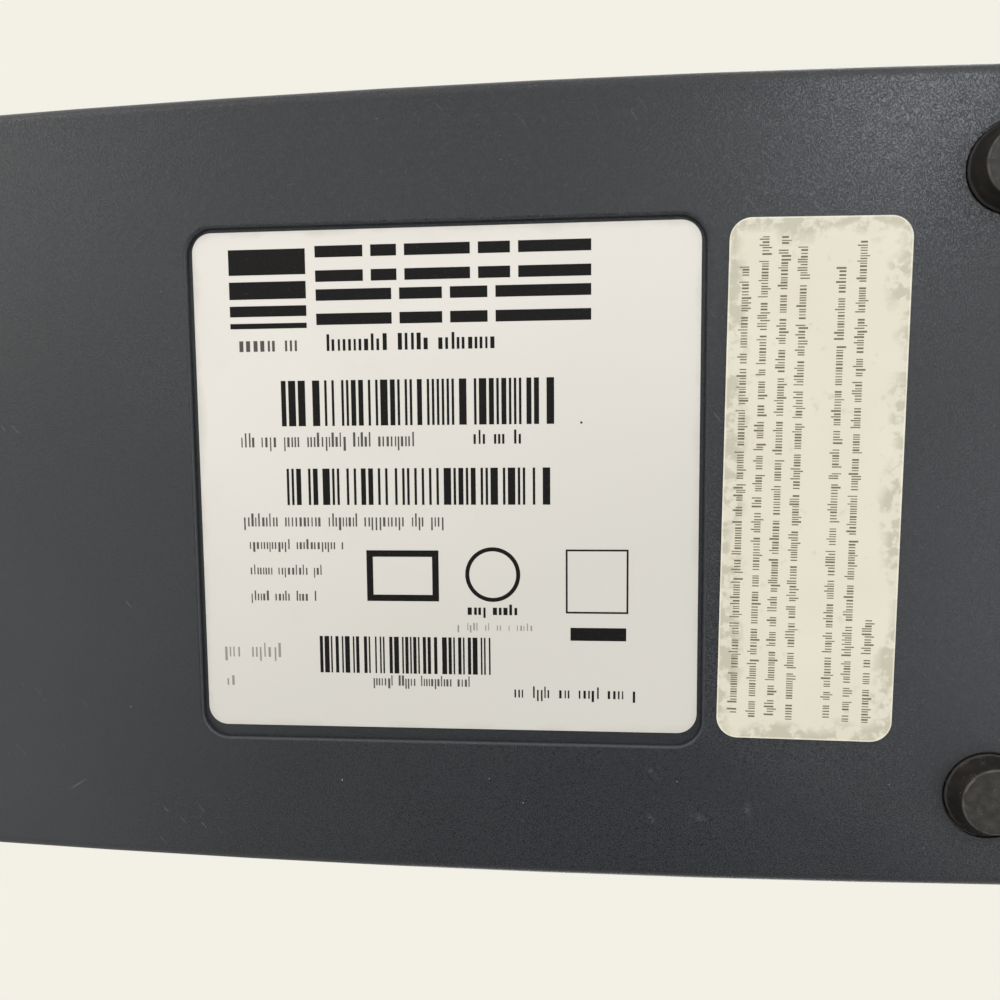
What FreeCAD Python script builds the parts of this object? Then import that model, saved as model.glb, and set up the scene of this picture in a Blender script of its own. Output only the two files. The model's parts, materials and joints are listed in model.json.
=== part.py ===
import FreeCAD, Part
import math
import os

# A desk-top cheque scanner, in millimetres. Cheques stand on their long edge in the
# hopper at the right of the rear side, run left, turn round the nose in a U-shaped
# track and come back along the front side to the exit pocket.
# +Z is up, +X is towards the open end of the pockets, +Y is the rear side with the
# hopper and the sockets. The origin is on the table, under the middle of the body.

vector = FreeCAD.Vector
up = vector(0, 0, 1)

# The body in plan: two gently bowed sides, a round nose and two rounded right corners
body_length = 236.0
body_depth = 120.0
side_bow_radius = 2720.0
bow_apex_from_right = 72.2
end_corner_radius = 16.0

# The layers, from the table up
foot_height = 2.6
pan_height = 23.4
deck_height = 18.7
cover_height = 114.7
seam = 0.3

# Clearances and the overrun that every cut shares
clearance = 0.3
running_fit = 0.05
overrun = 1.0

# Walls
pan_wall = 2.6
pan_floor = 2.5
deck_wall = 2.6
deck_plate = 3.0
cover_wall = 2.4
pocket_skin = 3.0
island_wall = 2.2

# Rounded edges
pan_edge_radius = 1.8
cover_edge_radius = 2.0
lid_edge_radius = 0.8

# The track round the island
channel_depth = 22.0
island_end_inset = 6.0
island_corner_radius = 12.0
track_gap = 2.2
funnel_from_feed = 8.0
funnel_length = 14.0
skin_end_inset = 15.0

# The falling tops of the covers and of the island
cover_low_height = 100.0
cover_fall_from_feed = 8.0
island_top_drop = 2.0
island_low_height = 112.0

# Rating label in its pocket, and notice label beside it, both under the pan
label_side = 76.2
label_thickness = 0.15
label_corner_radius = 3.0
label_from_right = 101.0
label_y = -1.3
pocket_depth = 0.8
pocket_lip_radius = 0.5
pocket_side_margin = 0.7
pocket_front_margin = 0.6
pocket_rear_margin = 1.8
pocket_corner_radius = 4.0
notice_width = 25.4
notice_length = 76.2
notice_corner_radius = 3.1
notice_from_right = 46.9
notice_y = -1.0
notice_turn = 0.77

# Rubber feet, each over a base screw
foot_base_radius = 6.3
foot_tip_radius = 4.85
foot_tip_rounding = 0.4
foot_seat_depth = 0.5
foot_end_inset = 20.5
foot_side_inset = 15.0
foot_belt_gap = 0.4
nose_angle = 120.0

# Screws
screw_radius = 1.5
screw_head_radius = 2.6
screw_head_height = 1.8
screw_bite = 12.0
base_boss_radius = 4.0
cover_boss_radius = 3.5
cover_boss_height = 13.0
cover_boss_inset = 3.2

# The lip that lines the deck up with the pan
lip_thickness = 1.2
lip_height = 2.4
lip_root = 4.0

# Drive: five driven rollers, one motor and one flat belt
roller_pulley_radius = 8.0
motor_pulley_radius = 5.0
pulley_flange = 1.4
pulley_flange_thickness = 0.8
belt_width = 5.0
belt_thickness = 1.2
pulley_below_deck = 1.2
shaft_radius = 3.0
shaft_overhang = 1.2
hub_radius = 6.5
tyre_radius = 9.0
tyre_width = 12.0
tyre_protrusion = 1.0
lower_tyre_height = 10.0
upper_tyre_height = 40.0
window_margin = 0.7
nip = 0.3
feed_share = 0.3257
pick_share = 0.5503
motor_share = 0.685

# Bearing plate over the rollers, on its posts
bearing_plate_height = 67.0
bearing_plate_thickness = 3.0
bearing_strip_half_width = 9.0
bush_radius = 5.0
bush_flange_radius = 5.6
bush_flange_thickness = 0.6
post_radius = 3.0
rear_post_share = 0.483
rear_post_inset = 11.0

# Motor
motor_side = 42.0
motor_height = 24.0
motor_corner_chamfer = 4.0
motor_boss_radius = 11.0
motor_boss_height = 0.8
motor_stand_radius = 4.0
motor_stand_height = 2.0
motor_stand_inset = 5.5
motor_shaft_radius = 2.5

# Idlers
idler_radius = 6.5
idler_sleeve_radius = 2.8
spindle_radius = 1.5
shelf_thickness = 3.0
shelf_half_width = 7.0
lower_shelf_height = 4.0
upper_shelf_height = 55.0

# Turn door on its vertical hinge
hinge_barrel_radius = 3.0
hinge_pin_radius = 1.5
hinge_clearance = 0.4
door_knuckle_low = 35.0
door_knuckle_high = 80.0
cover_knuckle_low = 10.0
hinge_top_drop = 10.0
scoop_radius = 13.0
scoop_depth = 1.3
scoop_height = 70.0
scoop_angle = 250.0

# Lid over the printing cartridge, on a hinge across the island
lid_thickness = 2.2
lid_hinge_from_feed = 16.5
lid_barrel_radius = 3.0
lid_pin_radius = 1.25
lid_ear_inset = 8.0
lid_ear_width = 5.6
lid_grip_radius = 9.0
lid_grip_depth = 2.6
bridge_height = 18.0

# Magnetic read head with its pressure pad, and the magnet that charges the ink
read_head_share = 0.207
read_head_width = 10.0
read_head_depth = 14.0
read_head_height = 16.0
read_head_nose_radius = 1.6
pressure_pad_depth = 4.2
charge_magnet_share = 0.69
charge_magnet_width = 8.0
charge_magnet_depth = 5.0
charge_magnet_height = 14.0

# Image sensors and their glasses
inner_sensor_share = 0.172
outer_sensor_share = 0.448
sensor_width = 12.0
sensor_air = 4.0
sensor_top_gap = 2.8
sensor_edge_chamfer = 1.0
glass_width = 7.0
glass_margin = 2.0

# Printing cartridge, its cradle and its latch
cartridge_roller_gap = 2.0
cartridge_sensor_gap = 11.0
cartridge_lid_gap = 21.8
cartridge_front_inset = 7.0
cartridge_base_height = 39.0
cartridge_rounding = 2.0
snout_width = 10.0
snout_height = 10.0
snout_lift = 4.0
nozzle_window_width = 6.0
cradle_wall = 2.0
cradle_height = 20.0
cradle_length = 22.0
pedestal_width = 16.0
latch_room = 15.0
latch_pin_radius = 1.2
latch_barrel_radius = 2.4
latch_arm_thickness = 2.0
latch_hook_reach = 10.0
latch_hook_thickness = 2.2
latch_width = 9.4
latch_ear_thickness = 2.0

# Item sensors behind the island's walls
item_sensor_width = 6.0
item_sensor_depth = 3.6
item_sensor_height = 8.0
item_sensor_lens_radius = 1.4
item_sensor_lift = 4.0
hopper_sensor_from_pick = 16.0
track_sensor_share = 0.414
pocket_sensor_from_feed = 50.0

# Hopper pusher on its vertical pin
pusher_pin_radius = 1.5
pusher_barrel_radius = 2.8
pusher_pin_inset = 4.2
pusher_pin_from_funnel = 4.5
pusher_blade_thickness = 1.6
pusher_blade_length = 27.0
pusher_elbow_from_pin = 7.0
pusher_lift = 2.0
pusher_height = 50.0
pusher_window_height = 24.0
pusher_window_share = 0.5

# Separator arm and pad, opposite the feed roller
separator_pin_radius = 1.2
separator_barrel_radius = 2.4
separator_pin_from_feed = 14.0
separator_pad_width = 8.0
separator_pad_thickness = 2.5
separator_carrier_thickness = 2.2
separator_arm_thickness = 1.6
separator_lift = 9.0
separator_height = 44.0
separator_travel_margin = 1.4

# Exit flap and the sliding stop of the exit pocket
flap_pin_radius = 1.0
flap_barrel_radius = 2.0
flap_pin_from_feed = 14.0
flap_pin_inset = 4.0
flap_length = 28.0
flap_angle = 21.0
flap_thickness = 1.2
flap_lift = 15.0
flap_height = 30.0
flap_window_margin = 1.0
stop_from_right = 38.0
stop_thickness = 3.0
stop_height = 34.0
stop_stem_width = 3.2
stop_stem_length = 9.0
stop_keeper_width = 6.4
stop_keeper_thickness = 2.4
stop_slot_inset = 7.6
stop_flap_gap = 6.0
stop_travel_out = 18.0
stop_tab_height = 8.0

# Power button, status lens and the small board behind them
button_radius = 4.0
button_flange_radius = 4.8
button_flange_thickness = 1.2
button_travel = 1.5
button_from_right = 36.0
button_drop = 11.2
lens_radius = 1.6
lens_from_button = 12.0
switch_board_width = 26.0
switch_board_height = 10.0
switch_board_thickness = 1.6
switch_side = 6.0
switch_depth = 3.4
switch_rib_thickness = 2.0
switch_rib_depth = 2.6

# Main board, sockets and lock slot
board_thickness = 1.6
board_from_nose = 2.0
board_motor_gap = 7.0
board_front_inset = 21.0
board_rear_inset = 9.0
board_stand_height = 5.0
board_stand_radius = 3.0
board_stand_inset = 4.0
chip_side = 14.0
chip_height = 1.6
chip_spacing = 22.0
chip_count = 3
socket_inset = 0.5
usb_from_nose = 20.0
usb_width = 12.0
usb_depth = 16.0
usb_height = 11.0
usb_mouth_width = 8.5
usb_mouth_height = 7.8
usb_mouth_depth = 9.0
usb_tongue_width = 5.6
usb_tongue_height = 3.2
inlet_from_usb = 22.0
inlet_width = 10.0
inlet_depth = 14.0
inlet_height = 11.0
inlet_bore_radius = 3.2
inlet_bore_depth = 9.5
inlet_pin_radius = 1.0
lock_slot_from_right = 40.0
lock_slot_width = 7.0
lock_slot_height = 3.2
lock_plate_width = 18.0
lock_plate_height = 12.0
lock_plate_thickness = 1.5

# Worked-out levels
pan_base = foot_height
pan_top = pan_base + pan_height
deck_base = pan_top + seam
deck_top = deck_base + deck_height
deck_underside = deck_top - deck_plate
cover_base = deck_top + seam
cover_top = cover_base + cover_height
island_top = cover_top - island_top_drop
lid_base = island_top - lid_thickness
bearing_plate_base = deck_top + bearing_plate_height
bearing_plate_top = bearing_plate_base + bearing_plate_thickness
pulley_top = deck_underside - pulley_below_deck
belt_top = pulley_top - pulley_flange_thickness - clearance
belt_base = belt_top - belt_width
pulley_base = belt_base - clearance - pulley_flange_thickness
sensor_height = lid_base - sensor_top_gap - deck_top
cartridge_base = deck_top + cartridge_base_height
cartridge_height = lid_base - cartridge_lid_gap - cartridge_base
hinge_low = deck_top + cover_knuckle_low
hinge_high = cover_top - hinge_top_drop

# Worked-out places in plan
half_depth = body_depth / 2
right_end = body_length / 2
left_end = -right_end
widest_x = right_end - bow_apex_from_right
bow_centre_y = half_depth - side_bow_radius
nose_reach = widest_x - left_end
nose_radius = ((side_bow_radius ** 2 - nose_reach ** 2 - bow_centre_y ** 2)
               / (2 * (side_bow_radius - nose_reach)))
nose_x = left_end + nose_radius
island_half_width = half_depth - channel_depth
guide_half_width = island_half_width + track_gap
island_end = right_end - island_end_inset
straight_run = right_end - nose_x
feed_x = nose_x + feed_share * straight_run
pick_x = nose_x + pick_share * straight_run
motor_x = nose_x + motor_share * straight_run
turn_run = feed_x - nose_x
funnel_start = feed_x + funnel_from_feed
funnel_end = funnel_start + funnel_length
skin_end = right_end - skin_end_inset
roller_reach = island_half_width + tyre_protrusion - tyre_radius
idler_reach = roller_reach + tyre_radius + nip + idler_radius
foot_reach = (roller_reach + roller_pulley_radius + clearance + belt_thickness
              + base_boss_radius + foot_belt_gap)
strip_front = (roller_reach * math.sin(math.radians(nose_angle))
               - bearing_strip_half_width + overrun)
label_x = right_end - label_from_right
notice_x = right_end - notice_from_right
lid_hinge_x = feed_x + lid_hinge_from_feed
lid_hinge_z = island_top - lid_barrel_radius
lid_ear_outer = island_half_width - lid_ear_inset
lid_ear_inner = lid_ear_outer - lid_ear_width
cap_edge = lid_hinge_x + lid_barrel_radius + hinge_clearance
read_head_x = nose_x + read_head_share * turn_run
charge_magnet_x = nose_x + charge_magnet_share * turn_run
inner_sensor_x = nose_x + inner_sensor_share * turn_run
outer_sensor_x = nose_x + outer_sensor_share * turn_run
sensor_depth = channel_depth - track_gap - 2 * cover_wall - sensor_air
cartridge_right = feed_x - tyre_radius - cartridge_roller_gap
cartridge_left = inner_sensor_x + sensor_width / 2 + cartridge_sensor_gap
cartridge_width = cartridge_right - cartridge_left
cartridge_x = (cartridge_left + cartridge_right) / 2
cartridge_rear = strip_front - latch_room
cartridge_front = -island_half_width + cartridge_front_inset
stop_x = right_end - stop_from_right
stop_travel_in = stop_x - feed_x - flap_pin_from_feed - flap_length - stop_flap_gap
usb_x = nose_x + usb_from_nose
inlet_x = usb_x + inlet_from_usb


def side_y(x, inset=0):
    """Half-depth of the bowed body at x, moved in by inset."""
    radius = side_bow_radius - inset
    return bow_centre_y + math.sqrt(radius ** 2 - (x - widest_x) ** 2)


def around_nose(angle, reach):
    """A place in plan, at an angle and distance from the nose's centre."""
    turn = math.radians(angle)
    return nose_x + reach * math.cos(turn), reach * math.sin(turn)


def mirror_y(shape):
    """The same piece for the other side of the track."""
    return shape.mirror(vector(0, 0, 0), vector(0, 1, 0))


def block(x0, x1, y0, y1, z0, z1):
    return Part.makeBox(x1 - x0, y1 - y0, z1 - z0, vector(x0, y0, z0))


def rod(x, y, z0, z1, radius):
    return Part.makeCylinder(radius, z1 - z0, vector(x, y, z0), up)


def tube(x, y, z0, z1, outer, inner):
    bore = rod(x, y, z0 - overrun, z1 + overrun, inner)
    return rod(x, y, z0, z1, outer).cut(bore)


def prism(points, z0, z1):
    """A straight-sided plan outline, raised from z0 to z1."""
    corners = [vector(x, y, z0) for x, y in points]
    face = Part.Face(Part.makePolygon(corners + corners[:1]))
    return face.extrude(vector(0, 0, z1 - z0))


def bar(start, end, thickness, z0, z1):
    """An upright plate whose middle runs between two places in plan."""
    along = vector(end[0] - start[0], end[1] - start[1], 0).normalize()
    side = vector(-along.y, along.x, 0) * (thickness / 2)
    corners = [(start[0] + side.x, start[1] + side.y),
               (end[0] + side.x, end[1] + side.y),
               (end[0] - side.x, end[1] - side.y),
               (start[0] - side.x, start[1] - side.y)]
    return prism(corners, z0, z1)


def joined(shapes):
    result = shapes[0]
    if len(shapes) > 1:
        result = shapes[0].fuse(shapes[1:])
    return result.removeSplitter()


def arc_through(centre, radius, start, end, middle_direction):
    """The edge of a circle from start to end, by way of a direction from its centre."""
    middle = centre + middle_direction.normalize() * radius
    return Part.Arc(start, middle, end).toShape()


def outline_block(inset, z0, z1):
    """The body's plan, moved in by inset, raised from z0 to z1."""
    bow = vector(widest_x, bow_centre_y, z0)
    corner_x = right_end - end_corner_radius
    corner_y = bow_centre_y + math.sqrt((side_bow_radius - end_corner_radius) ** 2
                                        - (corner_x - widest_x) ** 2)
    corner = vector(corner_x, corner_y, z0)
    nose = vector(nose_x, 0, z0)
    towards_corner = (corner - bow).normalize()
    towards_nose = (nose - bow).normalize()
    end_point = vector(right_end - inset, corner_y, z0)
    corner_point = bow + towards_corner * (side_bow_radius - inset)
    nose_point = bow + towards_nose * (side_bow_radius - inset)
    flipped = [vector(p.x, -p.y, z0) for p in (end_point, corner_point, nose_point)]
    low_bow = vector(bow.x, -bow.y, z0)
    low_corner = vector(corner.x, -corner.y, z0)
    corner_radius = end_corner_radius - inset
    bow_radius = side_bow_radius - inset
    corner_middle = vector(1, 0, 0) + towards_corner
    side_middle = towards_corner + towards_nose
    edges = [
        Part.makeLine(flipped[0], end_point),
        arc_through(corner, corner_radius, end_point, corner_point, corner_middle),
        arc_through(bow, bow_radius, corner_point, nose_point, side_middle),
        arc_through(nose, nose_radius - inset, nose_point, flipped[2], vector(-1, 0, 0)),
        arc_through(low_bow, bow_radius, flipped[2], flipped[1],
                    vector(side_middle.x, -side_middle.y, 0)),
        arc_through(low_corner, corner_radius, flipped[1], flipped[0],
                    vector(corner_middle.x, -corner_middle.y, 0)),
    ]
    return Part.Face(Part.Wire(edges)).extrude(vector(0, 0, z1 - z0))


def capsule_block(half_width, end_x, corner_radius, z0, z1):
    """A plan with the nose's round left end and two rounded right corners."""
    edge_x = end_x - corner_radius
    edge_y = half_width - corner_radius
    nose = vector(nose_x, 0, z0)
    top = vector(nose_x, half_width, z0)
    bottom = vector(nose_x, -half_width, z0)
    edges = [
        Part.makeLine(bottom, vector(edge_x, -half_width, z0)),
        arc_through(vector(edge_x, -edge_y, z0), corner_radius,
                    vector(edge_x, -half_width, z0), vector(end_x, -edge_y, z0),
                    vector(1, -1, 0)),
        Part.makeLine(vector(end_x, -edge_y, z0), vector(end_x, edge_y, z0)),
        arc_through(vector(edge_x, edge_y, z0), corner_radius,
                    vector(end_x, edge_y, z0), vector(edge_x, half_width, z0),
                    vector(1, 1, 0)),
        Part.makeLine(vector(edge_x, half_width, z0), top),
        arc_through(nose, half_width, top, bottom, vector(-1, 0, 0)),
    ]
    return Part.Face(Part.Wire(edges)).extrude(vector(0, 0, z1 - z0))


def island_block(inset, z0, z1):
    return capsule_block(island_half_width - inset, island_end - inset,
                         island_corner_radius - inset, z0, z1)


def guide_block(offset, z0, z1):
    """Everything inside the outer guide of the track, run out past the right end."""
    half_width = guide_half_width + offset
    reach = right_end + body_depth
    return capsule_block(half_width, reach, island_corner_radius, z0, z1)


def below_fall(fall_start, high, fall_end, low, drop=0):
    """All that lies below a top that is flat, then falls in a smooth double curve."""
    run = fall_end - fall_start
    fall = high - low
    radius = (run ** 2 + fall ** 2) / (4 * fall)
    steepest = math.asin(run / 2 / radius)
    half = steepest / 2
    upper_radius = radius - drop
    lower_radius = radius + drop
    upper_centre = vector(fall_start, 0, high - radius)
    lower_centre = vector(fall_end, 0, low + radius)
    tip = vector(math.sin(steepest), 0, math.cos(steepest))
    middle = upper_centre + tip * upper_radius
    far_left = left_end - body_depth
    far_right = right_end + body_depth
    start = vector(fall_start, 0, high - drop)
    end = vector(fall_end, 0, low - drop)
    edges = [
        Part.makeLine(vector(far_left, 0, 0), vector(far_left, 0, high - drop)),
        Part.makeLine(vector(far_left, 0, high - drop), start),
        arc_through(upper_centre, upper_radius, start, middle,
                    vector(math.sin(half), 0, math.cos(half))),
        arc_through(lower_centre, lower_radius, middle, end,
                    vector(-math.sin(half), 0, -math.cos(half))),
        Part.makeLine(end, vector(far_right, 0, low - drop)),
        Part.makeLine(vector(far_right, 0, low - drop), vector(far_right, 0, 0)),
        Part.makeLine(vector(far_right, 0, 0), vector(far_left, 0, 0)),
    ]
    face = Part.Face(Part.Wire(edges))
    face.translate(vector(0, -body_depth, 0))
    return face.extrude(vector(0, 2 * body_depth, 0))


def below_cover_top(drop=0):
    return below_fall(feed_x - cover_fall_from_feed, cover_top,
                      right_end, cover_low_height, drop)


def below_island_top(drop=0):
    return below_fall(cap_edge, island_top, island_end, island_low_height, drop)


def rounded_plate(x, y, width, depth, corner_radius, z0, z1):
    """A plate with rounded upright corners, centred at x, y."""
    plate = block(x - width / 2, x + width / 2, y - depth / 2, y + depth / 2, z0, z1)
    upright = [edge for edge in plate.Edges
               if abs(edge.tangentAt(edge.FirstParameter).z) == 1]
    return plate.makeFillet(corner_radius, upright)


def rollers():
    """The five driven rollers, in the order in which the cheque meets them."""
    rear_turn = around_nose(nose_angle, roller_reach)
    front_turn = around_nose(-nose_angle, roller_reach)
    return {
        "pick_roller": (pick_x, roller_reach),
        "feed_roller": (feed_x, roller_reach),
        "rear_turn_roller": rear_turn,
        "front_turn_roller": front_turn,
        "exit_roller": (feed_x, -roller_reach),
    }


def tyre_levels():
    """Lower and upper end of each of a roller's two tyres."""
    return [(deck_top + height, deck_top + height + tyre_width)
            for height in (lower_tyre_height, upper_tyre_height)]


def tyre_windows(x, y, radius):
    """The space that two wheels on one axis need in a guide wall."""
    return [rod(x, y, low - window_margin, high + window_margin, radius + window_margin)
            for low, high in tyre_levels()]


def feet_places():
    left = around_nose(nose_angle, foot_reach)
    right = (right_end - foot_end_inset, half_depth - foot_side_inset)
    return [(x, side * y) for x, y in (left, right) for side in (-1, 1)]


def cover_boss_places():
    """Two screws hold each side cover, in plan, for the rear side."""
    xs = (nose_x + cover_wall + cover_boss_radius + screw_head_radius,
          outer_sensor_x + sensor_width / 2 + cover_boss_radius + 2 * clearance)
    return [(x, side_y(x, cover_wall + cover_boss_inset)) for x in xs]


def island_boss_places():
    """Three screws hold the island's housing."""
    nose_boss = around_nose(180, island_half_width - island_wall - cover_boss_inset)
    end_x = island_end - island_wall - cover_boss_inset
    end_y = island_half_width - island_corner_radius - cover_boss_radius
    return [nose_boss, (end_x, end_y), (end_x, -end_y)]


# Base pan

def label_pocket():
    """The recess that holds the rating label, with its rounded corners."""
    width = label_side + 2 * pocket_side_margin
    depth = label_side + pocket_front_margin + pocket_rear_margin
    middle_y = label_y + (pocket_rear_margin - pocket_front_margin) / 2
    return rounded_plate(label_x, middle_y, width, depth, pocket_corner_radius,
                         pan_base - overrun, pan_base + pocket_depth)


def soften_pocket(pan):
    """Round the lip where the label's pocket meets the underside."""
    reach = label_side / 2 + pocket_rear_margin + pocket_corner_radius
    lip = []
    for edge in pan.Edges:
        middle = edge.BoundBox.Center
        low = abs(edge.BoundBox.ZMin - pan_base) < running_fit
        flat = edge.BoundBox.ZLength < running_fit
        near = abs(middle.x - label_x) < reach and abs(middle.y - label_y) < reach
        if low and flat and near:
            lip.append(edge)
    return pan.makeFillet(pocket_lip_radius, lip)


def pan_shell():
    """The tray: rounded at its lower outer edge, open at the top."""
    outer = outline_block(0, pan_base, pan_top)
    lower = [edge for edge in outer.Edges if edge.BoundBox.ZMax < pan_base + overrun]
    outer = outer.makeFillet(pan_edge_radius, lower)
    inside = outline_block(pan_wall, pan_base + pan_floor, pan_top + overrun)
    return outer.cut(inside)


def pan_lip():
    """The ring that lines the deck up, a clearance inside the deck's wall."""
    outer = pan_wall
    inner = pan_wall + clearance + lip_thickness
    root = outline_block(outer, pan_top - lip_root, pan_top)
    root = root.cut(outline_block(inner, pan_top - lip_root - overrun, pan_top + overrun))
    ring = outline_block(outer + clearance, pan_top - lip_root, pan_top + lip_height)
    ring = ring.cut(outline_block(inner, pan_top - lip_root - overrun,
                                  pan_top + lip_height + overrun))
    return root.fuse(ring)


def board_stand_places():
    x0, x1, y0, y1 = board_edges()
    return [(x, y) for x in (x0 + board_stand_inset, x1 - board_stand_inset)
            for y in (y0 + board_stand_inset, y1 - board_stand_inset)]


def motor_stand_places():
    reach = motor_side / 2 - motor_stand_inset
    return [(motor_x + i * reach, j * reach) for i in (-1, 1) for j in (-1, 1)]


def base_pan():
    floor = pan_base + pan_floor
    pieces = [pan_shell(), pan_lip()]
    for x, y in feet_places():
        pieces.append(rod(x, y, floor, pan_top, base_boss_radius))
    for x, y in board_stand_places():
        pieces.append(rod(x, y, pan_base + pocket_depth + overrun,
                          floor + board_stand_height, board_stand_radius))
    for x, y in motor_stand_places():
        pieces.append(rod(x, y, pan_base + pocket_depth + overrun,
                          floor + motor_stand_height, motor_stand_radius))
    pan = joined(pieces)
    cuts = [label_pocket()]
    for x, y in feet_places():
        seat = foot_base_radius + clearance
        head = screw_head_radius + clearance
        bore = screw_radius + running_fit
        head_end = pan_base + foot_seat_depth + clearance + screw_head_height
        cuts.append(rod(x, y, pan_base - overrun, pan_base + foot_seat_depth, seat))
        cuts.append(rod(x, y, pan_base, head_end, head))
        cuts.append(rod(x, y, pan_base, pan_top + overrun, bore))
    cuts += [usb_opening(), inlet_opening(), lock_slot()]
    pan = pan.cut(cuts)
    return soften_pocket(pan)


def rating_label():
    top = pan_base + pocket_depth
    return rounded_plate(label_x, label_y, label_side, label_side,
                         label_corner_radius, top - label_thickness, top)


def notice_label():
    label = rounded_plate(notice_x, notice_y, notice_width, notice_length,
                          notice_corner_radius, pan_base - label_thickness, pan_base)
    label.rotate(vector(notice_x, notice_y, 0), up, notice_turn)
    return label


def rubber_foot(x, y):
    """A tapered bumper with a softened tip, seated in the pan."""
    height = foot_height + foot_seat_depth
    foot = Part.makeCone(foot_tip_radius, foot_base_radius, height, vector(x, y, 0), up)
    tip = [edge for edge in foot.Edges if edge.BoundBox.ZMax < foot_seat_depth]
    return foot.makeFillet(foot_tip_rounding, tip)


def rubber_feet():
    return Part.makeCompound([rubber_foot(x, y) for x, y in feet_places()])


def base_screws():
    """One long screw over each foot, from the pan up into the deck's boss."""
    screws = []
    for x, y in feet_places():
        head = pan_base + foot_seat_depth + clearance
        head_end = head + screw_head_height
        shank_end = deck_base + screw_bite
        screws.append(rod(x, y, head, head_end, screw_head_radius)
                      .fuse(rod(x, y, head_end, shank_end, screw_radius)).removeSplitter())
    return screws


# Electronics in the base

def board_edges():
    x0 = nose_x + board_from_nose
    x1 = motor_x - motor_side / 2 - board_motor_gap
    return x0, x1, board_front_inset - half_depth, half_depth - board_rear_inset


def board_levels():
    low = pan_base + pan_floor + board_stand_height
    return low, low + board_thickness


def main_board():
    """The circuit board, with a row of packages on it."""
    x0, x1, y0, y1 = board_edges()
    low, high = board_levels()
    pieces = [block(x0, x1, y0, y1, low, high)]
    middle_y = (y0 + y1) / 2
    for index in range(chip_count):
        x = (x0 + x1) / 2 + (index - (chip_count - 1) / 2) * chip_spacing
        pieces.append(block(x - chip_side / 2, x + chip_side / 2, middle_y - chip_side / 2,
                            middle_y + chip_side / 2, high, high + chip_height))
    return joined(pieces)


def socket_front(x):
    return side_y(x) - socket_inset


def usb_levels():
    low = board_levels()[1]
    return low, low + usb_height


def usb_socket():
    """A square data socket with a tongue in its mouth."""
    low, high = usb_levels()
    front = socket_front(usb_x)
    middle = (low + high) / 2
    body = block(usb_x - usb_width / 2, usb_x + usb_width / 2, front - usb_depth, front,
                 low, high)
    mouth = block(usb_x - usb_mouth_width / 2, usb_x + usb_mouth_width / 2,
                  front - usb_mouth_depth, front + overrun,
                  middle - usb_mouth_height / 2, middle + usb_mouth_height / 2)
    tongue = block(usb_x - usb_tongue_width / 2, usb_x + usb_tongue_width / 2,
                   front - usb_mouth_depth, front - socket_inset,
                   middle - usb_tongue_height / 2, middle + usb_tongue_height / 2)
    return joined([body.cut(mouth), tongue])


def usb_opening():
    low, high = usb_levels()
    return block(usb_x - usb_width / 2 - clearance, usb_x + usb_width / 2 + clearance,
                 socket_front(usb_x) - pan_wall - lip_thickness - overrun,
                 half_depth + overrun, low - clearance, high + clearance)


def power_inlet():
    """A barrel inlet: a round bore with a centre pin."""
    low = board_levels()[1]
    front = socket_front(inlet_x)
    body = block(inlet_x - inlet_width / 2, inlet_x + inlet_width / 2,
                 front - inlet_depth, front, low, low + inlet_height)
    middle = vector(inlet_x, front + overrun, low + inlet_height / 2)
    back = vector(0, -1, 0)
    bore = Part.makeCylinder(inlet_bore_radius, inlet_bore_depth + overrun, middle, back)
    pin = Part.makeCylinder(inlet_pin_radius, inlet_bore_depth - socket_inset,
                            middle - vector(0, overrun + socket_inset, 0), back)
    return joined([body.cut(bore), pin])


def inlet_opening():
    low = board_levels()[1]
    return block(inlet_x - inlet_width / 2 - clearance,
                 inlet_x + inlet_width / 2 + clearance,
                 socket_front(inlet_x) - pan_wall - lip_thickness - overrun,
                 half_depth + overrun, low - clearance, low + inlet_height + clearance)


def lock_place():
    x = right_end - lock_slot_from_right
    return x, side_y(x), (pan_base + pan_top) / 2


def lock_slot():
    x, y, z = lock_place()
    return block(x - lock_slot_width / 2, x + lock_slot_width / 2,
                 y - pan_wall - overrun, y + overrun,
                 z - lock_slot_height / 2, z + lock_slot_height / 2)


def lock_plate():
    """The steel plate behind the lock slot."""
    x, y, z = lock_place()
    outer = side_y(x + lock_plate_width / 2, pan_wall) - running_fit
    plate = block(x - lock_plate_width / 2, x + lock_plate_width / 2,
                  outer - lock_plate_thickness, outer,
                  z - lock_plate_height / 2, z + lock_plate_height / 2)
    slot = block(x - lock_slot_width / 2, x + lock_slot_width / 2,
                 outer - lock_plate_thickness - overrun, outer + overrun,
                 z - lock_slot_height / 2, z + lock_slot_height / 2)
    return plate.cut(slot)


# Drive under the deck

def motor_levels():
    low = pan_base + pan_floor + motor_stand_height
    return low, low + motor_height


def drive_motor():
    """A square motor with chamfered corners and a bore for its shaft."""
    low, high = motor_levels()
    half = motor_side / 2
    body = block(motor_x - half, motor_x + half, -half, half, low, high)
    upright = [edge for edge in body.Edges
               if abs(edge.tangentAt(edge.FirstParameter).z) == 1]
    body = body.makeChamfer(motor_corner_chamfer, upright)
    boss = rod(motor_x, 0, high, high + motor_boss_height, motor_boss_radius)
    bore = rod(motor_x, 0, low + motor_stand_height, high + motor_boss_height + overrun,
               motor_shaft_radius + running_fit)
    return joined([body, boss]).cut(bore)


def pulley(x, y, radius):
    """A flanged pulley for the flat belt."""
    core = rod(x, y, pulley_base, pulley_top, radius)
    flange = radius + pulley_flange
    lower = rod(x, y, pulley_base, pulley_base + pulley_flange_thickness, flange)
    upper = rod(x, y, pulley_top - pulley_flange_thickness, pulley_top, flange)
    return joined([core, lower, upper])


def motor_pulley():
    low = motor_levels()[0] + motor_stand_height + clearance
    shaft = rod(motor_x, 0, low, pulley_top, motor_shaft_radius)
    return joined([shaft, pulley(motor_x, 0, motor_pulley_radius)])


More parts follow.
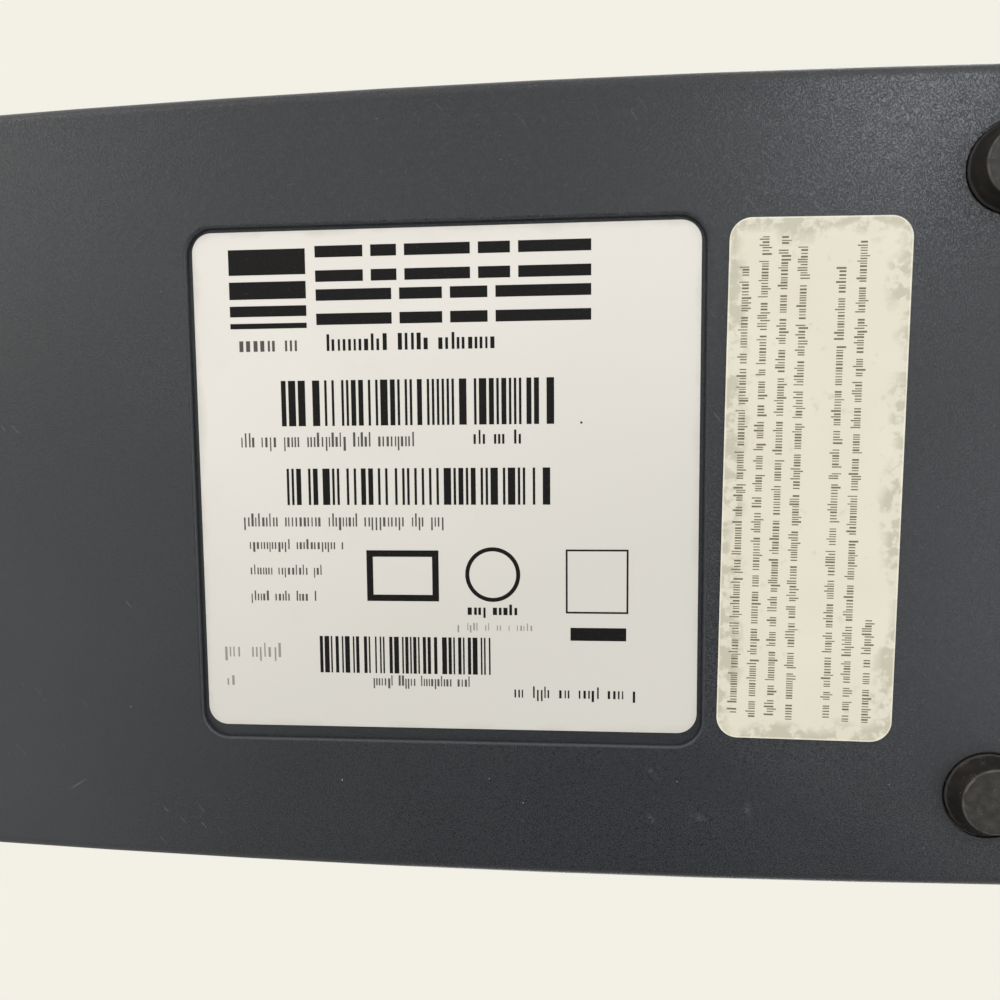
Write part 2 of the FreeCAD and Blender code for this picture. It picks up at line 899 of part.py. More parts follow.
def roller_core(x, y):
    """A roller's shaft with its pulley below and two hubs above the deck."""
    low = pulley_base
    high = bearing_plate_top + shaft_overhang
    pieces = [rod(x, y, low, high, shaft_radius), pulley(x, y, roller_pulley_radius)]
    for tyre_low, tyre_high in tyre_levels():
        pieces.append(rod(x, y, tyre_low, tyre_high, hub_radius))
    return joined(pieces)


def roller_tyres(x, y):
    rings = [tube(x, y, low, high, tyre_radius, hub_radius + running_fit)
             for low, high in tyre_levels()]
    return Part.makeCompound(rings)


def belt_loop(offset, z0, z1):
    """The convex path round all the pulleys, as a solid, offset from their rims."""
    places = rollers()
    wheels = [(places[name], roller_pulley_radius) for name in
              ("pick_roller", "feed_roller", "rear_turn_roller", "front_turn_roller",
               "exit_roller")]
    wheels.append(((motor_x, 0), motor_pulley_radius))
    joins = []
    for index, (place, radius) in enumerate(wheels):
        onward, onward_radius = wheels[(index + 1) % len(wheels)]
        span = vector(onward[0] - place[0], onward[1] - place[1], 0)
        length = span.Length
        along = span.normalize()
        outward = vector(along.y, -along.x, 0)
        lean = (radius - onward_radius) / length
        normal = along * lean + outward * math.sqrt(1 - lean ** 2)
        leave = vector(place[0], place[1], z0) + normal * (radius + offset)
        arrive = vector(onward[0], onward[1], z0) + normal * (onward_radius + offset)
        joins.append((leave, arrive, normal))
    edges = []
    for index, (leave, arrive, normal) in enumerate(joins):
        before = joins[index - 1]
        place, radius = wheels[index]
        centre = vector(place[0], place[1], z0)
        edges.append(arc_through(centre, radius + offset, before[1], leave,
                                 before[2] + normal))
        edges.append(Part.makeLine(leave, arrive))
    return Part.Face(Part.Wire(edges)).extrude(vector(0, 0, z1 - z0))


def drive_belt():
    outer = belt_loop(clearance + belt_thickness, belt_base, belt_top)
    inner = belt_loop(clearance, belt_base - overrun, belt_top + overrun)
    return outer.cut(inner)


def bush(x, y, low, high, flange_low):
    """A flanged plain bearing that sits in a hole of its own size."""
    flange_high = flange_low + bush_flange_thickness
    body = rod(x, y, min(low, flange_low), max(high, flange_high), bush_radius)
    flange = rod(x, y, flange_low, flange_high, bush_flange_radius)
    bore = rod(x, y, low - 2 * overrun, high + 2 * overrun, shaft_radius + running_fit)
    return joined([body, flange]).cut(bore)


def roller_bushes():
    bushes = []
    for x, y in rollers().values():
        bushes.append(bush(x, y, deck_underside, deck_top,
                           deck_underside - bush_flange_thickness))
        bushes.append(bush(x, y, bearing_plate_base, bearing_plate_top,
                           bearing_plate_base - bush_flange_thickness))
    return Part.makeCompound(bushes)


def bush_holes(z0, z1):
    return [rod(x, y, z0 - overrun, z1 + overrun, bush_radius + running_fit)
            for x, y in rollers().values()]


def post_places():
    return [
        (around_nose(nose_angle, roller_reach)[0], 0),
        (nose_x + rear_post_share * turn_run, island_half_width - rear_post_inset),
        ((feed_x + pick_x) / 2, roller_reach),
        (feed_x, 0),
    ]


def bearing_posts():
    return Part.makeCompound([rod(x, y, deck_top, bearing_plate_base, post_radius)
                              for x, y in post_places()])


def bearing_plate():
    """A strip along the rear rollers, with an arm to each of the two front ones."""
    half = bearing_strip_half_width
    turn_x, turn_y = around_nose(nose_angle, roller_reach)
    low, high = bearing_plate_base, bearing_plate_top
    ends = island_half_width - island_wall - clearance
    rear_edge = min(roller_reach + bush_flange_radius - overrun, ends)
    pieces = [
        block(turn_x, pick_x, strip_front, rear_edge, low, high),
        rod(pick_x, (strip_front + rear_edge) / 2, low, high, (rear_edge - strip_front) / 2),
        block(turn_x - half, turn_x + half, -turn_y, turn_y, low, high),
        block(feed_x - half + 2 * clearance, feed_x + half, -roller_reach, strip_front + half,
              low, high),
        rod(turn_x, turn_y, low, high, half),
        rod(turn_x, -turn_y, low, high, half),
        rod(feed_x, -roller_reach, low, high, bush_flange_radius),
    ]
    plate = joined(pieces)
    inside = island_block(island_wall + clearance, low - overrun, high + overrun)
    return plate.common(inside).cut(bush_holes(low, high))


# Track deck

def stop_slot():
    """Ends and middle line of the slot that the pocket's stop slides in."""
    half = stop_stem_length / 2 + clearance
    return stop_x - stop_travel_in - half, stop_x + stop_travel_out + half, stop_line_y()


def stop_line_y():
    return -(half_depth - stop_slot_inset)


def button_place():
    x = right_end - button_from_right
    return x, deck_top - button_drop


def skirt_hole(x, z, radius):
    """A round hole through the deck's front skirt."""
    start = vector(x, -half_depth - overrun, z)
    return Part.makeCylinder(radius, deck_wall + 3 * overrun, start, vector(0, 1, 0))


def track_deck():
    outer = outline_block(0, deck_base, deck_top)
    inside = outline_block(deck_wall, deck_base - overrun, deck_underside)
    pieces = [outer.cut(inside)]
    for x, y in feet_places():
        pieces.append(rod(x, y, deck_base, deck_underside + overrun, base_boss_radius))
    button_x, button_z = button_place()
    rest_y = switch_board_face() + switch_board_thickness
    half_rib = switch_rib_thickness / 2
    for side in (-1, 1):
        x = lens_middle_x() + side * (switch_board_width / 2 - half_rib)
        pieces.append(block(x - half_rib, x + half_rib, rest_y, rest_y + switch_rib_depth,
                            button_z - switch_board_height / 2,
                            deck_underside + overrun))
    deck = joined(pieces)
    cuts = bush_holes(deck_underside, deck_top)
    for x, y in feet_places():
        cuts.append(rod(x, y, deck_base - overrun, deck_base + screw_bite + overrun,
                        screw_radius + running_fit))
    for x, y in deck_screw_places():
        cuts.append(rod(x, y, deck_underside - overrun, deck_top + overrun,
                        screw_radius + running_fit))
    start, end, middle = stop_slot()
    half = stop_stem_width / 2 + clearance
    cuts.append(block(start, end, middle - half, middle + half,
                      deck_underside - overrun, deck_top + overrun))
    cuts.append(skirt_hole(button_x, button_z, button_radius + running_fit))
    cuts.append(skirt_hole(button_x - lens_from_button, button_z, lens_radius + running_fit))
    cuts += [rod(x, y, deck_underside - overrun, deck_top + overrun, radius + running_fit)
             for x, y, radius, top in upright_pins()]
    return deck.cut(cuts)


def deck_screw_places():
    rear = cover_boss_places()
    return rear + [(x, -y) for x, y in rear] + island_boss_places()


def upright_pins():
    """The fixed pins that stand in the deck: place, radius and top."""
    seat = clearance + shelf_thickness
    return [(*pusher_pin_place(), pusher_pin_radius, pusher_levels()[1] + seat),
            (*separator_pin_place(), separator_pin_radius, separator_levels()[1] + seat)]


def cover_screws():
    """Screws under the deck's plate, up into the bosses of the covers."""
    screws = []
    for x, y in deck_screw_places():
        head = rod(x, y, deck_underside - screw_head_height, deck_underside,
                   screw_head_radius)
        shank = rod(x, y, deck_underside, cover_base + cover_boss_height - overrun,
                    screw_radius)
        screws.append(head.fuse(shank).removeSplitter())
    return screws


# Side covers

def funnel_block(offset, z0, z1):
    """The pocket's side of the slanted funnel wall, moved into the wall by offset."""
    start = vector(funnel_start, guide_half_width, 0)
    end = vector(funnel_end, side_y(funnel_end, pocket_skin), 0)
    along = (end - start).normalize()
    into_wall = vector(-along.y, along.x, 0) * offset
    low = start + into_wall - along * guide_half_width
    high = end + into_wall + along * half_depth
    far = right_end + body_depth
    return prism([(low.x, low.y), (high.x, high.y), (far, high.y), (far, low.y)], z0, z1)


def cover_outside():
    """Both side covers and the door as one block, with its top edge rounded."""
    tall = outline_block(0, cover_base, cover_top + overrun)
    shape = tall.common(below_cover_top())
    rim = []
    for edge in shape.Edges:
        if edge.BoundBox.ZMin > cover_low_height - overrun:
            rim.append(edge)
    upper = [edge for edge in rim if not is_crosswise(edge)]
    return shape.makeFillet(cover_edge_radius, upper)


def is_crosswise(edge):
    """True for the straight seams that cross the body from front to rear."""
    crosses = edge.BoundBox.YLength > body_depth / 2
    return crosses and edge.BoundBox.XLength < running_fit


def side_cover_shell(outside):
    """The rear side cover: a hollow wall beside the track, one skin by the pocket."""
    low, high = cover_base - overrun, cover_top + overrun
    start = nose_x + clearance / 2
    shape = outside.cut(guide_block(0, low, high))
    pocket = funnel_block(0, low, high).common(outline_block(pocket_skin, low, high))
    shape = shape.cut(pocket)
    shape = shape.common(block(start, skin_end, 0, half_depth + overrun, low, high))
    end_y = side_y(skin_end, pocket_skin / 2)
    end_post = rod(skin_end, end_y, cover_base, high, pocket_skin / 2)
    shape = shape.fuse(end_post.common(below_cover_top())).removeSplitter()
    hollow = outline_block(cover_wall, low, high).cut(guide_block(cover_wall, low, high))
    hollow = hollow.cut(funnel_block(cover_wall, low, high))
    hollow = hollow.common(block(start + cover_wall, skin_end, 0, half_depth, low, high))
    return shape.cut(hollow.common(below_cover_top(cover_wall)))


def cover_bosses(cover):
    """Fuse two tapped bosses into a cover, against its outer skin."""
    bosses = [rod(x, y, cover_base, cover_base + cover_boss_height, cover_boss_radius)
              for x, y in cover_boss_places()]
    cover = joined([cover] + bosses)
    return cover.cut([rod(x, y, cover_base - overrun, cover_base + cover_boss_height,
                          screw_radius + running_fit) for x, y in cover_boss_places()])


def shelf(x, y, z0, inner_y):
    """A shelf from the outer skin inwards that holds the top or foot of a pin."""
    outer_y = side_y(x, cover_wall / 2)
    plate = block(x - shelf_half_width / 2, x + shelf_half_width / 2, inner_y, outer_y,
                  z0, z0 + shelf_thickness)
    return plate.fuse(rod(x, y, z0, z0 + shelf_thickness, shelf_half_width / 2))


def hinge_axis():
    """The turn door's hinge, at the rear corner of the nose."""
    return nose_x, half_depth - hinge_barrel_radius


def hinge_space(z0, z1):
    x, y = hinge_axis()
    return rod(x, y, z0, z1, hinge_barrel_radius + hinge_clearance)


def knuckle(z0, z1):
    x, y = hinge_axis()
    return rod(x, y, z0, z1, hinge_barrel_radius)


def rear_cover(outside):
    """Cover of the hopper side: knuckles for the door and seats for two pins."""
    cover = cover_bosses(side_cover_shell(outside))
    x, y = hinge_axis()
    cover = cover.cut(hinge_space(cover_base - overrun, cover_top + overrun))
    knuckle_levels = [
        (hinge_low, deck_top + door_knuckle_low - hinge_clearance),
        (deck_top + door_knuckle_high + hinge_clearance, hinge_high),
    ]
    pieces = [cover]
    for low, high in knuckle_levels:
        web_y = side_y(nose_x + cover_wall, cover_wall)
        web = block(x, x + hinge_barrel_radius + cover_wall, web_y, y + overrun, low, high)
        pieces += [knuckle(low, high), web]
    pusher_x, pusher_y = pusher_pin_place()
    arm_x, arm_y = separator_pin_place()
    pieces.append(shelf(pusher_x, pusher_y, pusher_levels()[1] + clearance, pusher_y))
    pieces.append(shelf(arm_x, arm_y, separator_levels()[1] + clearance, arm_y))
    cover = joined(pieces)
    cuts = [rod(x, y, cover_base - overrun, cover_top + overrun,
                hinge_pin_radius + running_fit)]
    cuts += [rod(pin_x, pin_y, cover_base - overrun, top + overrun, radius + running_fit)
             for pin_x, pin_y, radius, top in upright_pins()]
    cuts += [separator_window(), pressure_pad_window()]
    return cover.cut(cuts)


def front_cover(outside):
    """Cover of the exit side: shelves for an idler and a window for a sensor."""
    cover = cover_bosses(side_cover_shell(outside))
    x, y = exit_idler_place()
    pieces = [cover]
    for height in (lower_shelf_height, upper_shelf_height):
        pieces.append(shelf(x, -y, deck_top + height, guide_half_width + cover_wall / 2))
    cover = joined(pieces)
    cuts = tyre_windows(x, -y, idler_radius)
    cuts.append(rod(x, -y, cover_base - overrun,
                    deck_top + upper_shelf_height + shelf_thickness - overrun,
                    spindle_radius + running_fit))
    cuts.append(mirror_y(outer_glass_window()))
    return mirror_y(cover.cut(cuts))


def turn_door(outside):
    """The crescent that closes the track round the nose, with shelves for idlers."""
    low, high = cover_base - overrun, cover_top + overrun
    end = nose_x - clearance / 2
    left = left_end - overrun
    half = half_depth + overrun
    shape = outside.cut(guide_block(0, low, high))
    shape = shape.common(block(left, end, -half, half, low, high))
    hollow = outline_block(cover_wall, low, cover_top - cover_wall)
    hollow = hollow.cut(guide_block(cover_wall, low, high))
    hollow = hollow.common(block(left, end - cover_wall, -half, half, low, high))
    x, y = hinge_axis()
    knuckle_low, knuckle_high = deck_top + door_knuckle_low, deck_top + door_knuckle_high
    shell = shape.cut(hollow)
    shell = shell.cut([hinge_space(low, knuckle_low),
                       hinge_space(knuckle_high, high)])
    pieces = [shell, knuckle(knuckle_low, knuckle_high)]
    for angle in (nose_angle, -nose_angle):
        near = around_nose(angle, guide_half_width + cover_wall / 2)
        far = around_nose(angle, nose_radius - cover_wall / 2)
        for height in (lower_shelf_height, upper_shelf_height):
            z0 = deck_top + height
            pieces.append(bar(near, far, 2 * shelf_half_width, z0, z0 + shelf_thickness)
                          .common(outline_block(cover_wall / 2, low, high))
                          .cut(guide_block(cover_wall / 2, low, high)))
    door = joined(pieces)
    cuts = [rod(x, y, low, high, hinge_pin_radius + running_fit), finger_scoop()]
    for place in door_idler_places().values():
        cuts += tyre_windows(*place, idler_radius)
        cuts.append(rod(*place, low, deck_top + upper_shelf_height + shelf_thickness
                        - overrun, spindle_radius + running_fit))
    return door.cut(cuts)


def finger_scoop():
    """A shallow hollow in the door's face for a finger to pull on."""
    x, y = around_nose(scoop_angle, nose_radius - scoop_depth + scoop_radius)
    return Part.makeSphere(scoop_radius, vector(x, y, deck_top + scoop_height))


def door_hinge_pin():
    x, y = hinge_axis()
    return rod(x, y, hinge_low, hinge_high, hinge_pin_radius)


# Idlers

def door_idler_places():
    return {
        "rear_turn_idler": around_nose(nose_angle, idler_reach),
        "front_turn_idler": around_nose(-nose_angle, idler_reach),
    }


def exit_idler_place():
    return feed_x, -idler_reach


def idler(x, y):
    """Two wheels on one sleeve that turns on a fixed spindle."""
    low = deck_top + lower_shelf_height + shelf_thickness + clearance
    high = deck_top + upper_shelf_height - clearance
    pieces = [rod(x, y, low, high, idler_sleeve_radius)]
    for wheel_low, wheel_high in tyre_levels():
        wheel = rod(x, y, wheel_low, wheel_high, idler_radius)
        pieces.append(wheel)
    bore = rod(x, y, low - overrun, high + overrun, spindle_radius + running_fit)
    return joined(pieces).cut(bore)


def spindle(x, y):
    return rod(x, y, deck_top + lower_shelf_height,
               deck_top + upper_shelf_height + shelf_thickness - overrun, spindle_radius)


# Island

def centre_housing():
    """The island's shell: open under the lid, roofed at the right."""
    low, high = cover_base, island_top
    outer = island_block(0, low, high).common(below_island_top())
    hollow = island_block(island_wall, low - overrun, high + overrun)
    hollow = hollow.common(below_island_top(island_wall))
    shell = outer.cut(hollow)
    wide = island_half_width + overrun
    lid_space = block(left_end, cap_edge, -wide, wide, lid_base - clearance,
                      high + overrun)
    shell = shell.cut(lid_space)
    inside = island_half_width - island_wall / 2
    bridge = block(cap_edge, cap_edge + island_wall, -inside, inside,
                   island_top - bridge_height, island_top - island_wall / 2)
    barrel_space = Part.makeCylinder(lid_barrel_radius + hinge_clearance, 2 * wide,
                                     vector(lid_hinge_x, -wide, lid_hinge_z),
                                     vector(0, 1, 0))
    pieces = [shell.cut(barrel_space), bridge]
    ear_low = lid_hinge_z - lid_barrel_radius
    for y0, y1 in ((lid_ear_inner, lid_ear_outer), (-lid_ear_outer, -lid_ear_inner)):
        web = block(lid_hinge_x, cap_edge + island_wall, y0, y1, ear_low, island_top)
        barrel = Part.makeCylinder(lid_barrel_radius, y1 - y0,
                                   vector(lid_hinge_x, y0, lid_hinge_z), vector(0, 1, 0))
        pieces += [web, barrel]
    for x, y in island_boss_places():
        pieces.append(rod(x, y, cover_base, cover_base + cover_boss_height,
                          cover_boss_radius))
    pieces.append(flap_bracket())
    housing = joined(pieces)
    cuts = [lid_pin(running_fit)]
    for x, y in rollers().values():
        cuts += tyre_windows(x, y, tyre_radius)
    for x, y in island_boss_places():
        cuts.append(rod(x, y, cover_base - overrun, cover_base + cover_boss_height,
                        screw_radius + running_fit))
    cuts += [inner_glass_window(), read_head_window(), nozzle_window(), flap_window()]
    cuts.append(rod(*flap_pin_place(), flap_pin_base() - overrun,
                    flap_pin_top() + overrun, flap_pin_radius + running_fit))
    cuts += item_sensor_holes()
    return housing.cut(cuts)


def lid_pin(growth=0):
    """The lid's hinge pin, or with growth the bore that it turns in."""
    reach = island_half_width - island_wall - clearance + growth
    return Part.makeCylinder(lid_pin_radius + growth, 2 * reach,
                             vector(lid_hinge_x, -reach, lid_hinge_z), vector(0, 1, 0))


def top_lid():
    """The cover over the cartridge, with its barrel and a finger notch at the nose."""
    plate = island_block(0, lid_base, island_top)
    upper = [edge for edge in plate.Edges if edge.BoundBox.ZMin > island_top - overrun]
    plate = plate.makeFillet(lid_edge_radius, upper)
    wide = island_half_width + overrun
    plate = plate.common(block(left_end, lid_hinge_x, -wide, wide, lid_base - overrun,
                               island_top + overrun))
    reach = island_half_width
    barrel = Part.makeCylinder(lid_barrel_radius, 2 * reach,
                               vector(lid_hinge_x, -reach, lid_hinge_z), vector(0, 1, 0))
    lid = joined([plate, barrel])
    cuts = [lid_pin(running_fit)]
    ear_gap = lid_barrel_radius + hinge_clearance
    for y0, y1 in ((lid_ear_inner, lid_ear_outer), (-lid_ear_outer, -lid_ear_inner)):
        cuts.append(block(lid_hinge_x - ear_gap, cap_edge, y0 - hinge_clearance,
                          y1 + hinge_clearance, lid_base - body_depth,
                          island_top + overrun))
    grip_x = around_nose(180, island_half_width)[0] - lid_grip_radius + lid_grip_depth
    cuts.append(rod(grip_x, 0, lid_base - overrun, island_top + overrun, lid_grip_radius))
    return lid.cut(cuts)


# Sensors and heads

def read_head():
    """The magnetic head, with a rounded face just inside the track's wall."""
    x = read_head_x
    front = island_half_width
    half = read_head_width / 2
    head = block(x - half, x + half, front - read_head_depth, front,
                 cover_base, cover_base + read_head_height)
    nose = [edge for edge in head.Edges
            if edge.BoundBox.YMin > front - overrun and edge.BoundBox.XLength == 0]
    upright = [edge for edge in nose if edge.BoundBox.ZLength > overrun]
    return head.makeFillet(read_head_nose_radius, upright)


def read_head_window():
    x = read_head_x
    half = read_head_width / 2 + clearance
    return block(x - half, x + half, island_half_width - island_wall - overrun,
                 island_half_width + overrun, cover_base - overrun,
                 cover_base + read_head_height + clearance)


def pressure_pad():
    """The soft block that holds the cheque against the read head."""
    x = read_head_x
    half = read_head_width / 2
    return block(x - half, x + half, guide_half_width,
                 guide_half_width + pressure_pad_depth, cover_base,
                 cover_base + read_head_height)


def pressure_pad_window():
    x = read_head_x
    half = read_head_width / 2 + clearance
    return block(x - half, x + half, guide_half_width - overrun,
                 guide_half_width + pressure_pad_depth + clearance,
                 cover_base - overrun, cover_base + read_head_height + clearance)


def charge_magnet():
    x = charge_magnet_x
    rear = island_half_width - island_wall - running_fit
    return block(x - charge_magnet_width / 2, x + charge_magnet_width / 2,
                 rear - charge_magnet_depth, rear, deck_top,
                 deck_top + charge_magnet_height)


def image_sensor(x, y0):
    """An upright contact sensor whose long edges are chamfered."""
    half = sensor_width / 2
    body = block(x - half, x + half, y0, y0 + sensor_depth, deck_top,
                 deck_top + sensor_height)
    upright = [edge for edge in body.Edges
               if abs(edge.tangentAt(edge.FirstParameter).z) == 1]
    return body.makeChamfer(sensor_edge_chamfer, upright)


def inner_image_sensor():
    rear = -(island_half_width - island_wall - running_fit)
    return image_sensor(inner_sensor_x, rear)


def outer_image_sensor():
    front = -(guide_half_width + cover_wall + running_fit + sensor_depth)
    return image_sensor(outer_sensor_x, front)


def glass_strip(x, y0, y1, margin):
    """A glass's place in a guide wall, grown by a margin for its window."""
    half = glass_width / 2 + margin
    return block(x - half, x + half, y0, y1, cover_base + glass_margin - margin,
                 deck_top + sensor_height - glass_margin + margin)


def inner_glass_window():
    face = -island_half_width
    return glass_strip(inner_sensor_x, face - overrun, face + island_wall + overrun,
                       running_fit)


def outer_glass_window():
    face = -guide_half_width
    return glass_strip(outer_sensor_x, face - cover_wall - overrun, face + overrun,
                       running_fit)


def sensor_glasses():
    """One glass in front of each sensor, flush with its side of the track."""
    inner = -island_half_width
    outer = -guide_half_width
    return Part.makeCompound([
        glass_strip(inner_sensor_x, inner, inner + island_wall, 0),
        glass_strip(outer_sensor_x, outer - cover_wall, outer, 0),
    ])


def item_sensor_places():
    """Middle of each sensor in x, the side of the island it is on, and its level."""
    level = deck_top + item_sensor_lift
    return [(pick_x + hopper_sensor_from_pick, 1, level),
            (nose_x + track_sensor_share * turn_run, 1, level),
            (feed_x + pocket_sensor_from_feed, -1, level)]


def item_sensors():
    sensors = []
    for x, side, level in item_sensor_places():
        rear = island_half_width - island_wall - running_fit
        body = block(x - item_sensor_width / 2, x + item_sensor_width / 2,
                     rear - item_sensor_depth, rear, deck_top,
                     deck_top + item_sensor_height)
        lens = Part.makeCylinder(item_sensor_lens_radius, island_wall,
                                 vector(x, rear - running_fit, level), vector(0, 1, 0))
        sensor = body.fuse(lens).removeSplitter()
        sensors.append(sensor if side > 0 else mirror_y(sensor))
    return Part.makeCompound(sensors)


def item_sensor_holes():
    holes = []
    for x, side, level in item_sensor_places():
        hole = Part.makeCylinder(item_sensor_lens_radius + running_fit,
                                 island_wall + 2 * overrun,
                                 vector(x, island_half_width - island_wall - overrun, level),
                                 vector(0, 1, 0))
        holes.append(hole if side > 0 else mirror_y(hole))
    return holes


# Printing cartridge

def cartridge_levels():
    return cartridge_base, cartridge_base + cartridge_height


def ink_cartridge():
    """A rounded block with a snout that reaches the track's wall."""
    low, high = cartridge_levels()
    body = block(cartridge_left, cartridge_right, cartridge_front, cartridge_rear, low, high)
    body = body.makeFillet(cartridge_rounding, body.Edges)
    snout = block(cartridge_x - snout_width / 2, cartridge_x + snout_width / 2,
                  -island_half_width + island_wall + clearance,
                  (cartridge_front + cartridge_rear) / 2, low + snout_lift,
                  low + snout_lift + snout_height)
    return joined([body, snout])


def nozzle_window():
    low = cartridge_levels()[0] + snout_lift
    return block(cartridge_x - nozzle_window_width / 2,
                 cartridge_x + nozzle_window_width / 2, -island_half_width - overrun,
                 -island_half_width + island_wall + overrun, low, low + snout_height)


def latch_axis():
    """The latch's pin runs along X, behind the cradle."""
    low = cartridge_levels()[0]
    y = cartridge_rear + clearance + cradle_wall + latch_barrel_radius + clearance
    return y, low + cradle_height - latch_barrel_radius - cradle_wall


def cartridge_cradle():
    """A tray on a hollow pedestal, with ears for the latch."""
    low = cartridge_levels()[0]
    rear = cartridge_rear + clearance + cradle_wall
    half = cartridge_width / 2 + clearance + cradle_wall
    floor = low - running_fit
    tray = block(cartridge_x - half, cartridge_x + half, rear - cradle_length, rear,
                 floor - cradle_wall, low + cradle_height)
    inner = half - cradle_wall
    space = block(cartridge_x - inner, cartridge_x + inner, rear - body_depth,
                  rear - cradle_wall, floor, low + cradle_height + overrun)
    half_pedestal = pedestal_width / 2
    middle = rear - cradle_length / 2
    pedestal = block(cartridge_x - half_pedestal, cartridge_x + half_pedestal,
                     middle - half_pedestal, middle + half_pedestal, deck_top,
                     floor - cradle_wall)
    core = half_pedestal - cradle_wall
    core_space = block(cartridge_x - core, cartridge_x + core, middle - core,
                       middle + core, deck_top - overrun, floor - 2 * cradle_wall)
    axis_y, axis_z = latch_axis()
    pieces = [tray.cut(space), pedestal.cut(core_space)]
    ear_inner = latch_width / 2 + clearance
    for side in (-1, 1):
        x0 = cartridge_x + side * ear_inner
        x1 = x0 + side * latch_ear_thickness
        ear = block(min(x0, x1), max(x0, x1), rear - cradle_wall / 2, axis_y,
                    axis_z - latch_barrel_radius, axis_z + latch_barrel_radius)
        tip = Part.makeCylinder(latch_barrel_radius, latch_ear_thickness,
                                vector(min(x0, x1), axis_y, axis_z), vector(1, 0, 0))
        pieces += [ear, tip]
    return joined(pieces).cut(latch_pin(running_fit))


def latch_pin(growth=0):
    y, z = latch_axis()
    half = latch_width / 2 + clearance + latch_ear_thickness + growth
    return Part.makeCylinder(latch_pin_radius + growth, 2 * half,
                             vector(cartridge_x - half, y, z), vector(1, 0, 0))


def cartridge_latch():
    """A lever behind the cartridge, hooked over its top."""
    y, z = latch_axis()
    half = latch_width / 2
    top = cartridge_levels()[1] + clearance
    barrel = Part.makeCylinder(latch_barrel_radius, latch_width,
                               vector(cartridge_x - half, y, z), vector(1, 0, 0))
    arm_y = y - latch_arm_thickness / 2
    arm = block(cartridge_x - half, cartridge_x + half, arm_y,
                arm_y + latch_arm_thickness, z, top + latch_hook_thickness)
    hook = block(cartridge_x - half, cartridge_x + half,
                 arm_y + latch_arm_thickness - latch_hook_reach,
                 arm_y + latch_arm_thickness, top, top + latch_hook_thickness)
    return joined([barrel, arm, hook]).cut(latch_pin(running_fit))


# Hopper pusher

def pusher_pin_place():
    x = funnel_end + pusher_pin_from_funnel
    return x, side_y(x, pocket_skin + pusher_pin_inset)


def pusher_levels():
    low = deck_top + pusher_lift
    return low, low + pusher_height


def upright_pin(x, y, radius, top):
    return rod(x, y, deck_underside, top, radius)


def hopper_pusher():
    """A sprung blade that presses the stack against the pick roller."""
    x, y = pusher_pin_place()
    low, high = pusher_levels()
    face = island_half_width + tyre_protrusion + nip + pusher_blade_thickness / 2
    elbow = (x + pusher_elbow_from_pin, face)
    tip = (elbow[0] + pusher_blade_length, face)
    round_end = pusher_blade_thickness / 2
    pieces = [
        rod(x, y, low, high, pusher_barrel_radius),
        bar((x, y), elbow, pusher_blade_thickness, low, high),
        rod(*elbow, low, high, round_end),
        bar(elbow, tip, pusher_blade_thickness, low, high),
        rod(*tip, low, high, round_end),
    ]
    pusher = joined(pieces)
    middle = (low + high) / 2
    share = pusher_window_share
    window_start = (x + share * (elbow[0] - x), y + share * (elbow[1] - y))
    window = bar(window_start, elbow, body_depth / 2, middle - pusher_window_height / 2,
                 middle + pusher_window_height / 2)
    beyond = block(x + pusher_barrel_radius, elbow[0] - pusher_blade_thickness,
                   face + pusher_blade_thickness, y - pusher_barrel_radius,
                   middle - pusher_window_height / 2, middle + pusher_window_height / 2)
    bore = rod(x, y, low - overrun, high + overrun, pusher_pin_radius + running_fit)
    return pusher.cut([window.common(beyond), bore])


# Separator

def separator_pin_place():
    return feed_x - separator_pin_from_feed, (guide_half_width + half_depth) / 2


def separator_levels():
    low = deck_top + separator_lift
    return low, low + separator_height


def separator_face():
    return roller_reach + tyre_radius + nip


def separator_pad():
    low, high = separator_levels()
    face = separator_face()
    half = separator_pad_width / 2
    return block(feed_x - half, feed_x + half, face, face + separator_pad_thickness,
                 low, high)


def separator_arm():
    """The sprung arm behind the pad, from its pin to the pad's carrier."""
    x, y = separator_pin_place()
    low, high = separator_levels()
    rear = separator_face() + separator_pad_thickness
    half = separator_pad_width / 2
    carrier = block(feed_x - half, feed_x + half, rear,
                    rear + separator_carrier_thickness, low, high)
    joint = (feed_x - half + separator_arm_thickness,
             rear + separator_carrier_thickness - separator_arm_thickness / 2)
    pieces = [carrier, rod(x, y, low, high, separator_barrel_radius),
              bar((x, y), joint, separator_arm_thickness, low, high)]
    bore = rod(x, y, low - overrun, high + overrun, separator_pin_radius + running_fit)
    return joined(pieces).cut(bore)


def separator_window():
    low, high = separator_levels()
    half = separator_pad_width / 2
    return block(feed_x - half - overrun, feed_x + half + separator_travel_margin,
                 guide_half_width - overrun, guide_half_width + cover_wall + overrun,
                 low - overrun, high + overrun)


# Exit flap

def flap_pin_place():
    return feed_x + flap_pin_from_feed, -(island_half_width - flap_pin_inset)


def flap_levels():
    low = deck_top + flap_lift
    return low, low + flap_height


def flap_pin_base():
    return flap_levels()[0] - clearance - shelf_thickness


def flap_pin_top():
    return flap_levels()[1] + clearance + shelf_thickness


def exit_flap():
    """A light sprung blade that pushes each cheque out into the pocket's stack."""
    x, y = flap_pin_place()
    low, high = flap_levels()
    turn = math.radians(-flap_angle)
    tip = (x + flap_length * math.cos(turn), y + flap_length * math.sin(turn))
    pieces = [rod(x, y, low, high, flap_barrel_radius),
              bar((x, y), tip, flap_thickness, low, high),
              rod(*tip, low, high, flap_thickness)]
    bore = rod(x, y, low - overrun, high + overrun, flap_pin_radius + running_fit)
    return joined(pieces).cut(bore)


